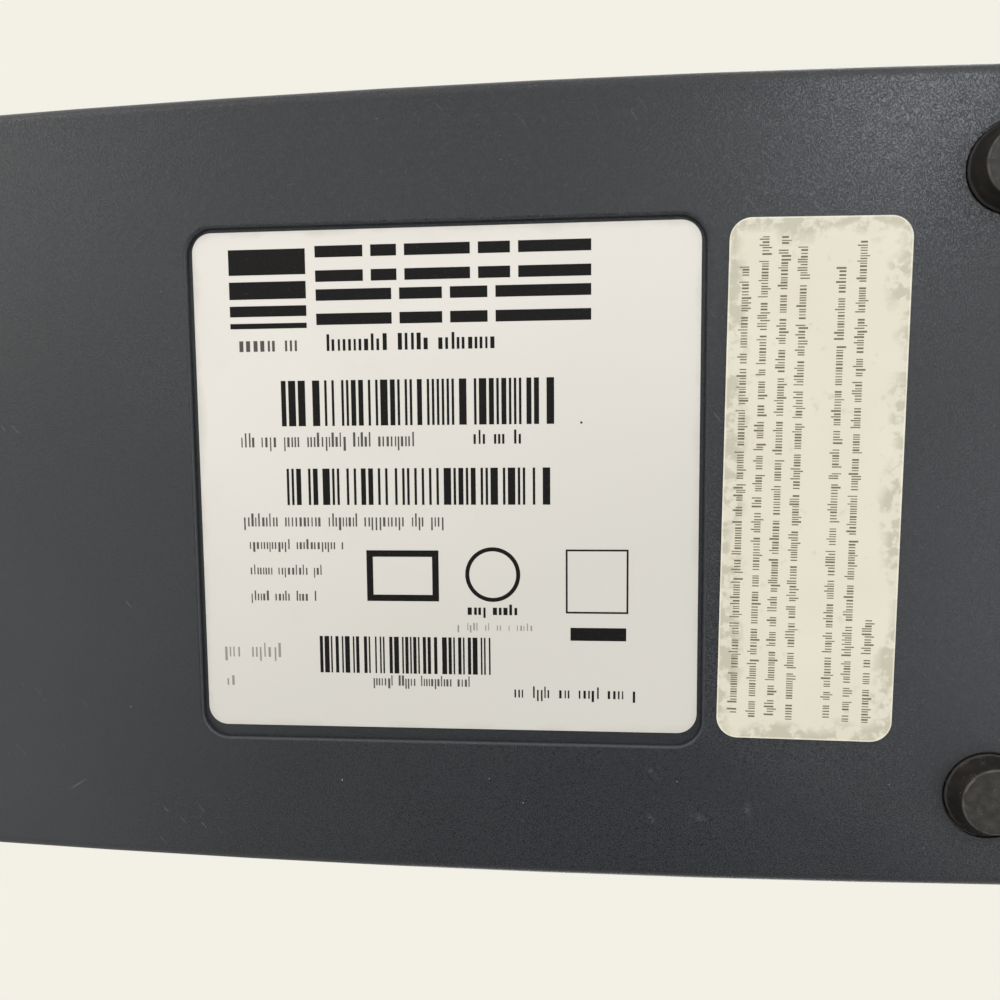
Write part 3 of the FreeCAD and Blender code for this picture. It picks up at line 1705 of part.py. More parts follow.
def flap_window():
    """The opening that the flap swings through, its pin's side included."""
    x = flap_pin_place()[0]
    low, high = flap_levels()
    return block(x - flap_barrel_radius - flap_window_margin,
                 x + flap_length + 2 * flap_thickness + flap_window_margin,
                 -island_half_width - overrun, -island_half_width + island_wall + overrun,
                 low - clearance, high + clearance)


def flap_bracket():
    """Two small brackets on the island's wall that hold the flap's pin."""
    x, y = flap_pin_place()
    low, high = flap_levels()
    half = flap_barrel_radius + flap_window_margin
    wall_y = -island_half_width + island_wall / 2
    upper = block(x - half, x + half, wall_y, y + half, high + clearance, flap_pin_top())
    lower = block(x - half, x + half, wall_y, y + half, flap_pin_base(), low - clearance)
    return Part.makeCompound([upper, lower])


def flap_pin():
    x, y = flap_pin_place()
    return rod(x, y, flap_pin_base(), flap_pin_top(), flap_pin_radius)


# Pocket stop

def pocket_stop():
    """A plate across the exit pocket, on a stem that slides in the deck's slot."""
    x = stop_x
    line_y = stop_line_y()
    half = stop_thickness / 2
    front = -side_y(x + stop_travel_out, pocket_skin + clearance)
    rear = -(island_half_width + clearance)
    base = deck_top + clearance
    top = base + stop_height
    plate = block(x - half, x + half, front, rear, base, top)
    plate = plate.makeFillet(half - running_fit, [
        edge for edge in plate.Edges
        if edge.BoundBox.ZMin > top - overrun and edge.BoundBox.YLength > overrun])
    foot = block(x - stop_stem_length / 2, x + stop_stem_length / 2,
                 line_y - stop_stem_width / 2, line_y + stop_stem_width / 2,
                 base, base + stop_tab_height)
    stem = block(x - stop_stem_length / 2, x + stop_stem_length / 2,
                 line_y - stop_stem_width / 2, line_y + stop_stem_width / 2,
                 deck_underside - clearance - stop_keeper_thickness, base + overrun)
    keeper = block(x - stop_stem_length / 2, x + stop_stem_length / 2,
                   line_y - stop_keeper_width / 2, line_y + stop_keeper_width / 2,
                   deck_underside - clearance - stop_keeper_thickness,
                   deck_underside - clearance)
    return joined([plate, foot, stem, keeper])


# Button and lens

def skirt_inside(x):
    return -side_y(x, deck_wall)


def power_button():
    """A round button whose collar rests behind the deck's skirt."""
    x, z = button_place()
    collar_y = skirt_inside(x) + clearance
    axis = vector(0, 1, 0)
    cap = Part.makeCylinder(button_radius, collar_y + half_depth, vector(x, -half_depth, z),
                            axis)
    rim = [edge for edge in cap.Edges if edge.BoundBox.YMax < -half_depth + overrun]
    cap = cap.makeFillet(clearance, rim)
    collar = Part.makeCylinder(button_flange_radius, button_flange_thickness,
                               vector(x, collar_y, z), axis)
    return joined([cap, collar])


def switch_face():
    """Where the switch's plunger stands, clear of the button's full travel."""
    x = button_place()[0]
    return skirt_inside(x) + clearance + button_flange_thickness + button_travel + clearance


def switch_board_face():
    return switch_face() + switch_depth


def lens_middle_x():
    return button_place()[0] - lens_from_button / 2


def switch_board():
    """The small upright board with the switch behind the button and a lamp."""
    x, z = button_place()
    face = switch_board_face()
    middle = lens_middle_x()
    board = block(middle - switch_board_width / 2, middle + switch_board_width / 2,
                  face, face + switch_board_thickness,
                  z - switch_board_height / 2, z + switch_board_height / 2)
    half = switch_side / 2
    switch = block(x - half, x + half, switch_face(), face + overrun, z - half, z + half)
    return joined([board, switch])


def status_lens():
    """A clear light pipe from the lamp to the front of the skirt."""
    x, z = button_place()
    x -= lens_from_button
    start = -side_y(x)
    return Part.makeCylinder(lens_radius, switch_board_face() - running_fit - start,
                             vector(x, start, z), vector(0, 1, 0))


def all_pieces():
    """Every piece of the scanner, by the name of its node."""
    outside = cover_outside()
    pieces = {
        "base_pan": base_pan(),
        "rating_label": rating_label(),
        "notice_label": notice_label(),
        "rubber_feet": rubber_feet(),
        "housing_screws": Part.makeCompound(base_screws() + cover_screws()),
        "main_board": main_board(),
        "usb_socket": usb_socket(),
        "power_inlet": power_inlet(),
        "lock_plate": lock_plate(),
        "drive_motor": drive_motor(),
        "motor_pulley": motor_pulley(),
        "drive_belt": drive_belt(),
        "track_deck": track_deck(),
        "roller_bushes": roller_bushes(),
        "bearing_posts": bearing_posts(),
        "bearing_plate": bearing_plate(),
        "rear_cover": rear_cover(outside),
        "front_cover": front_cover(outside),
        "turn_door": turn_door(outside),
        "door_hinge_pin": door_hinge_pin(),
        "exit_idler": idler(*exit_idler_place()),
        "exit_idler_spindle": spindle(*exit_idler_place()),
        "centre_housing": centre_housing(),
        "top_lid": top_lid(),
        "lid_hinge_pin": lid_pin(),
        "read_head": read_head(),
        "pressure_pad": pressure_pad(),
        "charge_magnet": charge_magnet(),
        "inner_image_sensor": inner_image_sensor(),
        "outer_image_sensor": outer_image_sensor(),
        "sensor_glasses": sensor_glasses(),
        "item_sensors": item_sensors(),
        "ink_cartridge": ink_cartridge(),
        "cartridge_cradle": cartridge_cradle(),
        "cartridge_latch": cartridge_latch(),
        "latch_pin": latch_pin(),
        "hopper_pusher": hopper_pusher(),
        "pusher_pin": upright_pin(*upright_pins()[0]),
        "separator_arm": separator_arm(),
        "separator_pad": separator_pad(),
        "separator_pin": upright_pin(*upright_pins()[1]),
        "exit_flap": exit_flap(),
        "flap_pin": flap_pin(),
        "pocket_stop": pocket_stop(),
        "power_button": power_button(),
        "switch_board": switch_board(),
        "status_lens": status_lens(),
    }
    for name, place in rollers().items():
        pieces[name] = roller_core(*place)
        pieces[name + "_tyres"] = roller_tyres(*place)
    for name, place in door_idler_places().items():
        pieces[name] = idler(*place)
    pieces["door_idler_spindles"] = Part.makeCompound(
        [spindle(*place) for place in door_idler_places().values()])
    return pieces


os.makedirs("parts", exist_ok=True)
for node, shape in all_pieces().items():
    shape.exportStep("parts/" + node + ".step")
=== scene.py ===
# %% [markdown]
# # A cheque scanner, looked at from below
# The part was built in CAD and packed, so every solid already has its size and place.
# Blender adds what CAD leaves out: the light, the camera, the print on the labels and the
# finish of each surface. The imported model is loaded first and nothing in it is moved.

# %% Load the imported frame
import json
import math
import random

import bmesh
import bpy
from mathutils import Euler, Matrix, Vector


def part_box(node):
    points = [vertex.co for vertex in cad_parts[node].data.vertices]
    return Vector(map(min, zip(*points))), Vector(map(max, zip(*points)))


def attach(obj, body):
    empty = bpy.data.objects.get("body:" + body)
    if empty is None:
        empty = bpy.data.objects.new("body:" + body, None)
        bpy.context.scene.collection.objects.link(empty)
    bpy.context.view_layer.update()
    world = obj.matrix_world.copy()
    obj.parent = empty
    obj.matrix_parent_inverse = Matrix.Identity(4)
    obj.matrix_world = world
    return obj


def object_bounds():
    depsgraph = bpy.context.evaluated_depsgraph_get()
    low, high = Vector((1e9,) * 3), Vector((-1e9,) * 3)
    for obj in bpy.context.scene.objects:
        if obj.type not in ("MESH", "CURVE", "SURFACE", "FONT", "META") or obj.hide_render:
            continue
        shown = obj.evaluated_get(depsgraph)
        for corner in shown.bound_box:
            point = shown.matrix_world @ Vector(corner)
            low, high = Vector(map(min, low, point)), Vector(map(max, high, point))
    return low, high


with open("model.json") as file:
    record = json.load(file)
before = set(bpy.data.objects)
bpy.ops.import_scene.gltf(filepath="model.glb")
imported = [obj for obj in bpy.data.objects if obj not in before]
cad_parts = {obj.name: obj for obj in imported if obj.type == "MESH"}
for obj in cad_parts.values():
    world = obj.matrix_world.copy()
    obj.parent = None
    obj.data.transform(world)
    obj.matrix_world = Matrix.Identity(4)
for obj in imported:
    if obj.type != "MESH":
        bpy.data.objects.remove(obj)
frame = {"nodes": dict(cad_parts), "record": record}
nodes = frame["nodes"]
cad_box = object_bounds()
scene = bpy.context.scene
MM = 0.001
print("nodes", len(nodes))
print("box", [round(side / MM, 1) for corner in cad_box for side in corner])

# %% [markdown]
# ## The camera
# The two labels are flat and their sizes are standard, so their corners tell where the
# camera was: about 120 mm under the base, looking almost straight up. The lens is as wide
# as a phone's. Placing the camera by these numbers is surer than moving it by eye.

# %% Put the camera under the base
LENS_MM, SENSOR_MM = 28.8, 36.0
CAMERA_PLACE = (35.102, -8.533, -116.871)
CAMERA_TURNS = (175.3498, -4.5237, 0.4871)
NEAREST_SEEN = 10
camera_data = bpy.data.cameras.new("underside_camera")
camera_data.lens = LENS_MM
camera_data.sensor_width = SENSOR_MM
camera_data.clip_start = NEAREST_SEEN * MM
camera = bpy.data.objects.new("underside_camera", camera_data)
camera.location = Vector(CAMERA_PLACE) * MM
camera.rotation_euler = Euler([math.radians(turn) for turn in CAMERA_TURNS])
scene.collection.objects.link(camera)
scene.camera = camera
scene.view_settings.view_transform = "Standard"
print("camera", [round(place / MM, 1) for place in camera.location], "mm")

# %% [markdown]
# ## Helpers for shader nodes
# A material is a small graph. Writing it by hand takes three lines for every node, so one
# function adds a node, sets its properties and fills its inputs. An input that is given
# another node's output is linked to it, and anything else is typed in as a value.
# Sums and products of two values are so common that they have their own short form.
# Colours are written as on a colour chart, and one function turns them to linear light.

# %% Node, colour and scale helpers
def add_node(tree, kind, inputs=None, **settings):
    """Add a shader node. A socket given as an input is linked, a plain value is set."""
    node = tree.nodes.new("ShaderNode" + kind)
    for name, value in settings.items():
        setattr(node, name, value)
    for name, value in (inputs or {}).items():
        if isinstance(value, bpy.types.NodeSocket):
            tree.links.new(value, node.inputs[name])
        else:
            node.inputs[name].default_value = value
    return node


def calc(tree, operation, first, second=0.0, **settings):
    """One value from two, by an operation such as "ADD" or "MULTIPLY"."""
    return add_node(tree, "Math", {0: first, 1: second}, operation=operation,
                    **settings).outputs[0]


def ranged(tree, value, low, high, to_low=0.0, to_high=1.0, **settings):
    """Stretch the values between low and high to a new range, and hold the rest."""
    return add_node(tree, "MapRange", {"Value": value, "From Min": low, "From Max": high,
                                       "To Min": to_low, "To Max": to_high},
                    **settings).outputs[0]


def linear(code):
    """An sRGB colour such as "#30333A" as the linear colour that shaders take."""
    steps = [int(code[place:place + 2], 16) / 255 for place in (1, 3, 5)]
    return [step / 12.92 if step <= 0.04045 else ((step + 0.055) / 1.055) ** 2.4
            for step in steps] + [1.0]


def per_mm(size):
    """The texture scale whose features are about this many millimetres wide."""
    return 1 / (size * MM)


# %% [markdown]
# ## World and floor
# The world is a soft white room. Below the scanner it has two dark patches, because a
# smooth plastic base mirrors whoever stands over it: their shape makes the middle of the
# base darker than its corners, and most of all its rear edge. What the camera itself sees
# of the world is plain and pale. The floor is a pale sheet that is clear from below, so
# the camera can look up through it. Under the scanner it also lets light through, because
# the base is lit from below, while all round it the floor is solid and the sides mirror
# it. Further out it fades into the backdrop, like the sweep of paper that a studio uses,
# so that no horizon shows.

# %% Soft world with two dark patches below
# Each patch: its direction, the cosines where it is darkest and where it ends, and the
# share of the light that is left in its middle.
DARK_PATCHES = (((0.09, 0.46, -0.88), 0.96, 0.77, 0.0),
                ((-0.12, -0.15, -0.98), 0.99, 0.84, 0.66))
REAR_GLOW, FRONT_GLOW, UPPER_GLOW = 0.84, 1.62, 0.62
# Between which directions the glow changes, along y and along z.
REAR_TO_FRONT, UP_TO_DOWN = (0.6, -0.5), (0.15, -0.25)
world = bpy.data.worlds.new("soft_room")
scene.world = world
world.use_nodes = True
room = world.node_tree
direction = add_node(room, "TexCoord").outputs["Generated"]
axes = add_node(room, "SeparateXYZ", {0: direction})
glow = calc(room, "MULTIPLY",
            ranged(room, axes.outputs["Y"], *REAR_TO_FRONT, REAR_GLOW, FRONT_GLOW),
            ranged(room, axes.outputs["Z"], *UP_TO_DOWN, UPPER_GLOW, 1.0))
for heading, inner, outer, darkest in DARK_PATCHES:
    near = add_node(room, "VectorMath", {0: direction, 1: Vector(heading).normalized()},
                    operation="DOT_PRODUCT").outputs["Value"]
    shade = ranged(room, near, inner, outer, darkest, 1.0, interpolation_type="SMOOTHSTEP")
    glow = calc(room, "MULTIPLY", glow, shade)
seen = add_node(room, "LightPath").outputs["Is Camera Ray"]
lighting = add_node(room, "Background", {"Color": linear("#FFFCF7"), "Strength": glow})
backdrop = add_node(room, "Background", {"Color": linear("#F3F0E6"), "Strength": 1.0})
either = add_node(room, "MixShader", {0: seen, 1: lighting.outputs[0], 2: backdrop.outputs[0]})
room.links.new(either.outputs[0], room.nodes["World Output"].inputs["Surface"])
print("world", world.name, "with", len(DARK_PATCHES), "dark patches")

# %% Pale floor with a clear place under the scanner
FLOOR_SIZE, FADE_START, FADE_END = 3000 * MM, 450 * MM, 1300 * MM
CLEAR_MARGIN, FLOOR_DROP = 5 * MM, 0.05 * MM
floor_shape = bmesh.new()
bmesh.ops.create_grid(floor_shape, x_segments=1, y_segments=1, size=FLOOR_SIZE / 2)
bmesh.ops.translate(floor_shape, verts=floor_shape.verts, vec=(0, 0, -FLOOR_DROP))
floor_mesh = bpy.data.meshes.new("floor")
floor_shape.to_mesh(floor_mesh)
floor_shape.free()
floor = bpy.data.objects.new("floor", floor_mesh)
scene.collection.objects.link(floor)
floor_finish = bpy.data.materials.new("painted_floor")
floor_finish.use_nodes = True
tree = floor_finish.node_tree
back = add_node(tree, "NewGeometry").outputs["Backfacing"]
spot_on_floor = add_node(tree, "TexCoord").outputs["Object"]
away = add_node(tree, "VectorMath", {0: spot_on_floor}, operation="LENGTH").outputs["Value"]
fade = ranged(tree, away, FADE_START, FADE_END, interpolation_type="SMOOTHSTEP")
cad_low, cad_high = Vector(cad_box[0]), Vector(cad_box[1])
middle = (cad_low + cad_high) / 2
reach = (cad_high - cad_low) / 2 + Vector((CLEAR_MARGIN, CLEAR_MARGIN, 0))
centred = add_node(tree, "VectorMath", {0: spot_on_floor, 1: (middle.x, middle.y, 0)},
                   operation="SUBTRACT").outputs[0]
folded = add_node(tree, "VectorMath", {0: centred}, operation="ABSOLUTE").outputs[0]
share = add_node(tree, "VectorMath", {0: folded, 1: (reach.x, reach.y, 1)}, operation="DIVIDE")
sides = add_node(tree, "SeparateXYZ", {0: share.outputs[0]})
furthest = calc(tree, "MAXIMUM", sides.outputs["X"], sides.outputs["Y"])
under = calc(tree, "LESS_THAN", furthest, 1.0)
looked_at = add_node(tree, "LightPath").outputs["Is Camera Ray"]
lit_through = calc(tree, "SUBTRACT", under, looked_at, use_clamp=True)
hidden = calc(tree, "MAXIMUM", calc(tree, "MAXIMUM", back, fade), lit_through)
clear = add_node(tree, "BsdfTransparent")
sheet = tree.nodes["Principled BSDF"]
sheet.inputs["Base Color"].default_value = linear("#E2DFD8")
sheet.inputs["Roughness"].default_value = 0.75
sheet.inputs["IOR"].default_value = 1.3
either = add_node(tree, "MixShader", {0: hidden, 1: sheet.outputs[0], 2: clear.outputs[0]})
tree.links.new(either.outputs[0], tree.nodes["Material Output"].inputs["Surface"])
floor_mesh.materials.append(floor_finish)
print("floor", FLOOR_SIZE / MM, "mm square")

# %% [markdown]
# ## Lights
# Large lamps give soft edges. Three hang above the scanner for the views from the sides
# and from above. Below it, one stands near the front left corner, so that its light fades
# across the labels, and three are where the base mirrors them at its other corners. The
# smallest is what makes the grain of the plastic sparkle. The two on the right are a
# little bluer, like daylight from a window. The camera sees none of them.

# %% Add the lamps
def add_lamp(name, place, target, size, power, tint):
    """A square area lamp that points from a place to a target, both in millimetres."""
    lamp_data = bpy.data.lights.new(name, "AREA")
    lamp_data.size = size * MM
    lamp_data.energy = power
    lamp_data.color = linear(tint)[:3]
    lamp = bpy.data.objects.new(name, lamp_data)
    lamp.location = Vector(place) * MM
    aim = (Vector(target) - Vector(place)).to_track_quat("-Z", "Y")
    lamp.rotation_euler = aim.to_euler()
    lamp.visible_camera = False
    scene.collection.objects.link(lamp)


PLAIN, WINDOW = "#FFFFFF", "#F0F5FF"
MIDDLE = (0, 0, 70)
# Each lamp: its name, place and target, the side of its square in millimetres, its power
# in watts and its tint.
for lamp_values in (("key_above", (520, -620, 760), MIDDLE, 620, 3.6, PLAIN),
                    ("fill_above", (-760, -160, 560), MIDDLE, 760, 2.0, PLAIN),
                    ("rear_above", (160, 780, 640), MIDDLE, 700, 2.6, PLAIN),
                    ("near_below", (-230, -200, -190), (-20, -20, 3), 220, 0.22, PLAIN),
                    ("glint_right", (275, -235, -435), (85, -55, 3), 50, 0.60, WINDOW),
                    ("soft_right", (375, 110, -420), (95, 30, 3), 240, 0.38, WINDOW),
                    ("soft_left", (-335, 185, -390), (-60, 35, 3), 240, 0.085, PLAIN)):
    add_lamp(*lamp_values)

# %% [markdown]
# ## A start for every finish
# Each finish starts with the same three things: a new material, its main shader and the
# object's own coordinates, which stay with the surface when a piece moves. Two helpers add
# what nearly all surfaces have. `patchy` lets the colour drift a little, as pigment and
# handling do. `grain` is the fine relief of the mould or the tool that made the surface.

# %% Shared parts of the finishes
# Noise runs from 0 to 1, but nearly all of it lies in the first span, and most in the second.
WIDE_SPAN, MIDDLE_SPAN = (0.3, 0.7), (0.35, 0.65)
finishes = {}


def keep(slot, finish):
    """Keep a finish under the name of the material slot that it is for."""
    finishes[slot] = finish
    print(slot, "is", finish.name, "with", len(finish.node_tree.nodes), "nodes")


def new_finish(name, roughness, ior=1.5, metallic=0.0):
    """A material with its uniform values set on the main shader."""
    finish = bpy.data.materials.new(name)
    finish.use_nodes = True
    shader = finish.node_tree.nodes["Principled BSDF"]
    shader.inputs["Roughness"].default_value = roughness
    shader.inputs["IOR"].default_value = ior
    shader.inputs["Metallic"].default_value = metallic
    place = add_node(finish.node_tree, "TexCoord").outputs["Object"]
    return finish, finish.node_tree, shader, place


def noise(tree, place, size, detail=2.0, rough=0.5, warp=0.0):
    """Smooth random values whose blobs are about size millimetres wide."""
    return add_node(tree, "TexNoise", {"Vector": place, "Scale": per_mm(size),
                                       "Detail": detail, "Roughness": rough,
                                       "Distortion": warp}).outputs[0]


def mixed(tree, share, first, second):
    """Mix two colours by a share from 0 to 1."""
    return add_node(tree, "Mix", {0: share, 6: first, 7: second}, data_type="RGBA").outputs[2]


def laid_over(tree, colour, code, strength, mask, low=0.0, high=1.0):
    """Lay a second colour over the first: not where the mask is low, most where it is high."""
    return mixed(tree, ranged(tree, mask, low, high, 0.0, strength), colour, linear(code))


def towards(tree, place, x, y):
    """How far a point lies in a direction in plan, in metres."""
    return add_node(tree, "VectorMath", {0: place, 1: (x, y, 0.0)},
                    operation="DOT_PRODUCT").outputs["Value"]


def patchy(tree, place, size, first, second, span=MIDDLE_SPAN):
    """A colour that drifts between two near ones."""
    share = ranged(tree, noise(tree, place, size, 3.0), *span)
    return mixed(tree, share, linear(first), linear(second))


def grain(tree, shader, height, depth):
    """Relief of a given depth in millimetres, from heights between 0 and 1."""
    bump = add_node(tree, "Bump", {"Height": height, "Distance": depth * MM, "Strength": 1.0})
    tree.links.new(bump.outputs[0], shader.inputs["Normal"])


def stretched(tree, place, along_x, along_y, along_z):
    """Coordinates whose patterns are drawn out by these factors."""
    scale = (1 / along_x, 1 / along_y, 1 / along_z)
    return add_node(tree, "Mapping", {"Vector": place, "Scale": scale}).outputs[0]


# %% [markdown]
# ## Where the feet stand
# Two finishes need to know how far a point is from the nearest foot: the base, which has a
# painted shadow round each foot and painted shade with dirt in the gap, and the rubber
# itself. The rear and front feet mirror each other, so the side is folded over with an
# absolute value, and the nearer of the two axes is used.

# %% Distance from the nearest foot
foot_low, foot_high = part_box("rubber_feet")
FOOT_BASE, LEFT_FEET_Y = 6.3, 38.02
FEET_AXES = ((foot_high.x / MM - FOOT_BASE, foot_high.y / MM - FOOT_BASE),
             (foot_low.x / MM + FOOT_BASE, LEFT_FEET_Y))


def foot_radius(tree, place):
    """Distance in plan from the axis of the nearest foot, in millimetres."""
    folded = add_node(tree, "VectorMath", {0: place}, operation="ABSOLUTE").outputs[0]
    along = add_node(tree, "SeparateXYZ", {0: place}).outputs["X"]
    across = add_node(tree, "SeparateXYZ", {0: folded}).outputs["Y"]
    flat = add_node(tree, "CombineXYZ", {"X": along, "Y": across}).outputs[0]
    right, left = [add_node(tree, "VectorMath", {0: flat, 1: (x * MM, y * MM, 0)},
                            operation="DISTANCE").outputs["Value"] for x, y in FEET_AXES]
    return calc(tree, "MULTIPLY", calc(tree, "MINIMUM", right, left), 1 / MM)


print("feet axes", [round(value, 2) for axis in FEET_AXES for value in axis])

# %% [markdown]
# ## The base: spark-eroded ABS
# The base is moulded in dark blue-grey ABS. The mould was cut by sparks, which leaves a
# fine grain of crinkled ridges, about 0.25 mm apart. The grain is drawn stronger towards the
# front right corner, where the smallest lamp makes it sparkle, and there its crests are
# painted paler as a painted sparkle. On top come pale specks of dust, a few hair scratches,
# four smudges behind the labels, a painted shadow round each foot and, in the gap round it,
# painted shade with dirt. Dust is drawn where random cells have a small core, because noise
# alone would give soft clouds.

# %% Helpers for dust, scratches and smudges
# The share of a speck and of a smudge that has its full strength, and how sharply the
# cells are picked.
SPECK_CORE, SMUDGE_CORE, PICK_EDGE = 0.6, 0.2, 0.01
# Hair scratches are the thin peaks of drawn-out noise, broken up by coarser noise.
HAIR_WIDTH, HAIR_BREAKS, BREAK_SIZE = (0.75, 0.77), (0.58, 0.64), 22.0


def dust_specks(tree, place, cell, radius, share):
    """1 on small round specks: one in each random cell, kept in a share of the cells."""
    cells = add_node(tree, "TexVoronoi", {"Vector": place, "Scale": per_mm(cell)})
    core = ranged(tree, cells.outputs["Distance"], radius / cell, SPECK_CORE * radius / cell)
    pick = add_node(tree, "SeparateColor", {0: cells.outputs["Color"]}).outputs[0]
    kept = ranged(tree, pick, share + PICK_EDGE, share)
    return calc(tree, "MULTIPLY", core, kept)


def hair_scratches(tree, place, turn, spacing, length):
    """1 on thin broken lines that run at an angle across the surface."""
    turned = add_node(tree, "Mapping", {"Vector": place, "Rotation": (0, 0, turn),
                                        "Scale": (length, 1.0, 1.0)},
                      vector_type="TEXTURE").outputs[0]
    thin = ranged(tree, noise(tree, turned, spacing, 1.0), *HAIR_WIDTH)
    broken = ranged(tree, noise(tree, place, BREAK_SIZE, 1.0), *HAIR_BREAKS)
    return calc(tree, "MULTIPLY", thin, broken)


def smudge(tree, place, x, y, turn, long, wide):
    """1 in the middle of an ellipse on the underside, fading to 0 at its edge."""
    local = add_node(tree, "Mapping", {"Vector": place, "Rotation": (0, 0, turn),
                                       "Location": (x * MM, y * MM, base_low.z),
                                       "Scale": (long * MM, wide * MM, wide * MM)},
                     vector_type="TEXTURE").outputs[0]
    reach = add_node(tree, "VectorMath", {0: local}, operation="LENGTH").outputs["Value"]
    return ranged(tree, reach, 1.0, SMUDGE_CORE)


# %% Finish of the base
base_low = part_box("base_pan")[0]
CRINKLE_SIZE, CRINKLE_DEPTH, RIDGE_WIDTH, SWELL_SIZE, SWELL = 0.25, 0.085, 0.07, 1.3, 0.5
# Where the grain is faintest and where it is strongest, along the way to the front right
# corner where the smallest lamp glints, and its strength at both. The same share sets the
# painted sparkle on its crests.
FAINT_TO, SPARKLE_FROM, FAINT_GRAIN, SPARKLE_GRAIN = -6 * MM, 50 * MM, 0.15, 1.1
# Radii in millimetres where the painted shadow round each foot fades out and is full, and where
# the gap, painted nearly black as shade with dirt, begins and is full.
FOOT_SHADOW_EDGE, FOOT_SHADOW_CORE, GAP_SHADE_EDGE, GAP_SHADE_CORE = 8.4, 6.7, 6.75, 6.62
STREAK_SIZE, STREAK_SPAN = 0.7, (0.42, 0.70)
POLISH_SIZE, GLOSSIEST, MATTEST = 38.0, 0.32, 0.39
# Each smudge: its x and y, its turn in radians, and half its length and width.
SMUDGES = ((48.5, 42.9, 0.7, 1.8, 0.6), (48.3, 50.0, 1.2, 1.2, 0.6),
           (55.3, 49.6, 0.4, 1.8, 0.8), (62.8, 48.2, 1.6, 1.7, 0.8))
LONE_SCRATCH = (-43.3, 47.1, -0.55, 2.2, 0.16)
# Hair scratches: their turn, how far apart they are and how far they are drawn out. Dust:
# the size of a cell, the radius of a speck and the share of the cells that have one.
HAIRS = (0.9, 0.35, 12.0)
BASE_DUST = ((5.5, 0.18, 0.08), (2.6, 0.10, 0.09))
finish, tree, shader, place = new_finish("spark_eroded_abs_base", 0.36)
colour = patchy(tree, place, 60.0, "#1D2024", "#222529")
kept = ranged(tree, towards(tree, place, 0.5, -0.85), FAINT_TO, SPARKLE_FROM,
              FAINT_GRAIN, SPARKLE_GRAIN)
crinkle = calc(tree, "SUBTRACT", noise(tree, place, CRINKLE_SIZE, 1.0), 0.5)
ridge = ranged(tree, calc(tree, "ABSOLUTE", crinkle), RIDGE_WIDTH, 0.0)
# Painted sparkle: the crests of the grain are painted paler, most towards the front right corner,
# where the smallest lamp glints on them.
colour = laid_over(tree, colour, "#6C7179", 0.40, calc(tree, "MULTIPLY", ridge, kept))
smear = smudge(tree, place, *SMUDGES[0])
for spot in SMUDGES[1:]:
    smear = calc(tree, "MAXIMUM", smear, smudge(tree, place, *spot))
streaks = ranged(tree, noise(tree, place, STREAK_SIZE, 3.0), *STREAK_SPAN)
colour = laid_over(tree, colour, "#8D8E8C", 0.16, calc(tree, "MULTIPLY", smear, streaks))
scratch = calc(tree, "MAXIMUM", hair_scratches(tree, place, *HAIRS),
               smudge(tree, place, *LONE_SCRATCH))
colour = laid_over(tree, colour, "#83868A", 0.25, scratch)
for specks in BASE_DUST:
    colour = laid_over(tree, colour, "#B5B2A8", 0.6, dust_specks(tree, place, *specks))
from_foot = foot_radius(tree, place)
# Painted shadow: a soft dark halo on the base round each foot, where the foot shades it.
colour = laid_over(tree, colour, "#121211", 0.40, from_foot, FOOT_SHADOW_EDGE, FOOT_SHADOW_CORE)
# Painted shade with dirt: the gap round each foot is painted nearly black.
colour = laid_over(tree, colour, "#060606", 1.0, from_foot, GAP_SHADE_EDGE, GAP_SHADE_CORE)
tree.links.new(colour, shader.inputs["Base Color"])
polish = ranged(tree, noise(tree, place, POLISH_SIZE, 2.0), *WIDE_SPAN, GLOSSIEST, MATTEST)
tree.links.new(polish, shader.inputs["Roughness"])
swell = ranged(tree, noise(tree, place, SWELL_SIZE, 1.0), 0, 1, 0, SWELL)
relief = calc(tree, "MULTIPLY", calc(tree, "ADD", ridge, swell), kept)
grain(tree, shader, relief, CRINKLE_DEPTH)
keep("base_plastic", finish)

# %% [markdown]
# ## Other moulded plastics
# Covers, lid, rollers, levers and sockets are moulded too. They differ in colour, in how
# coarse the mould's grain is and in how much they shine: ABS covers are matt, acetal is
# waxy, nylon and lacquered sensor bodies are smoother. One function makes them all from
# these few numbers, with a little dust on the pieces that a hand or a cloth reaches.

# %% Finishes of the moulded pieces
TONE_SIZE, GLOSS_SIZE, GLOSS_DRIFT, WAXY_DEPTH = 40.0, 24.0, 0.015, 0.6
COVER_DUST_CELL, COVER_DUST_RADIUS = 4.2, 0.17
# Slot: a name, two near colours, the size and depth of the grain in millimetres, the
# roughness, the share of the cells that hold dust, and how waxy the plastic is.
MOULDED = {
    "cover_plastic": ("textured_abs_covers", "#292C30", "#2D3034", 0.55, 0.065, 0.44, 0.06),
    "lid_plastic": ("textured_abs_lid", "#34373C", "#383B40", 0.55, 0.060, 0.42, 0.06),
    "track_plastic": ("smooth_abs_track", "#212427", "#25282B", 0.55, 0.045, 0.36, 0.05),
    "sensor_plastic": ("black_sensor_body", "#17181A", "#1D1E20", 0.30, 0.010, 0.38),
    "socket_plastic": ("black_nylon_socket", "#141415", "#1A1A1B", 0.50, 0.008, 0.30),
    "roller_plastic": ("natural_acetal", "#DEDDD4", "#D5D4CA", 0.50, 0.008, 0.36, 0.0, 0.15),
    "mechanism_plastic": ("grey_acetal", "#595B5F", "#626468", 0.45, 0.012, 0.40),
    "latch_plastic": ("green_nylon_latch", "#2A7C4A", "#318653", 0.50, 0.010, 0.36),
    "cartridge_plastic": ("black_cartridge_shell", "#1B1B1D", "#222224", 0.40, 0.014, 0.33),
    "button_plastic": ("grey_abs_button", "#6E7278", "#686C72", 0.35, 0.012, 0.42),
}


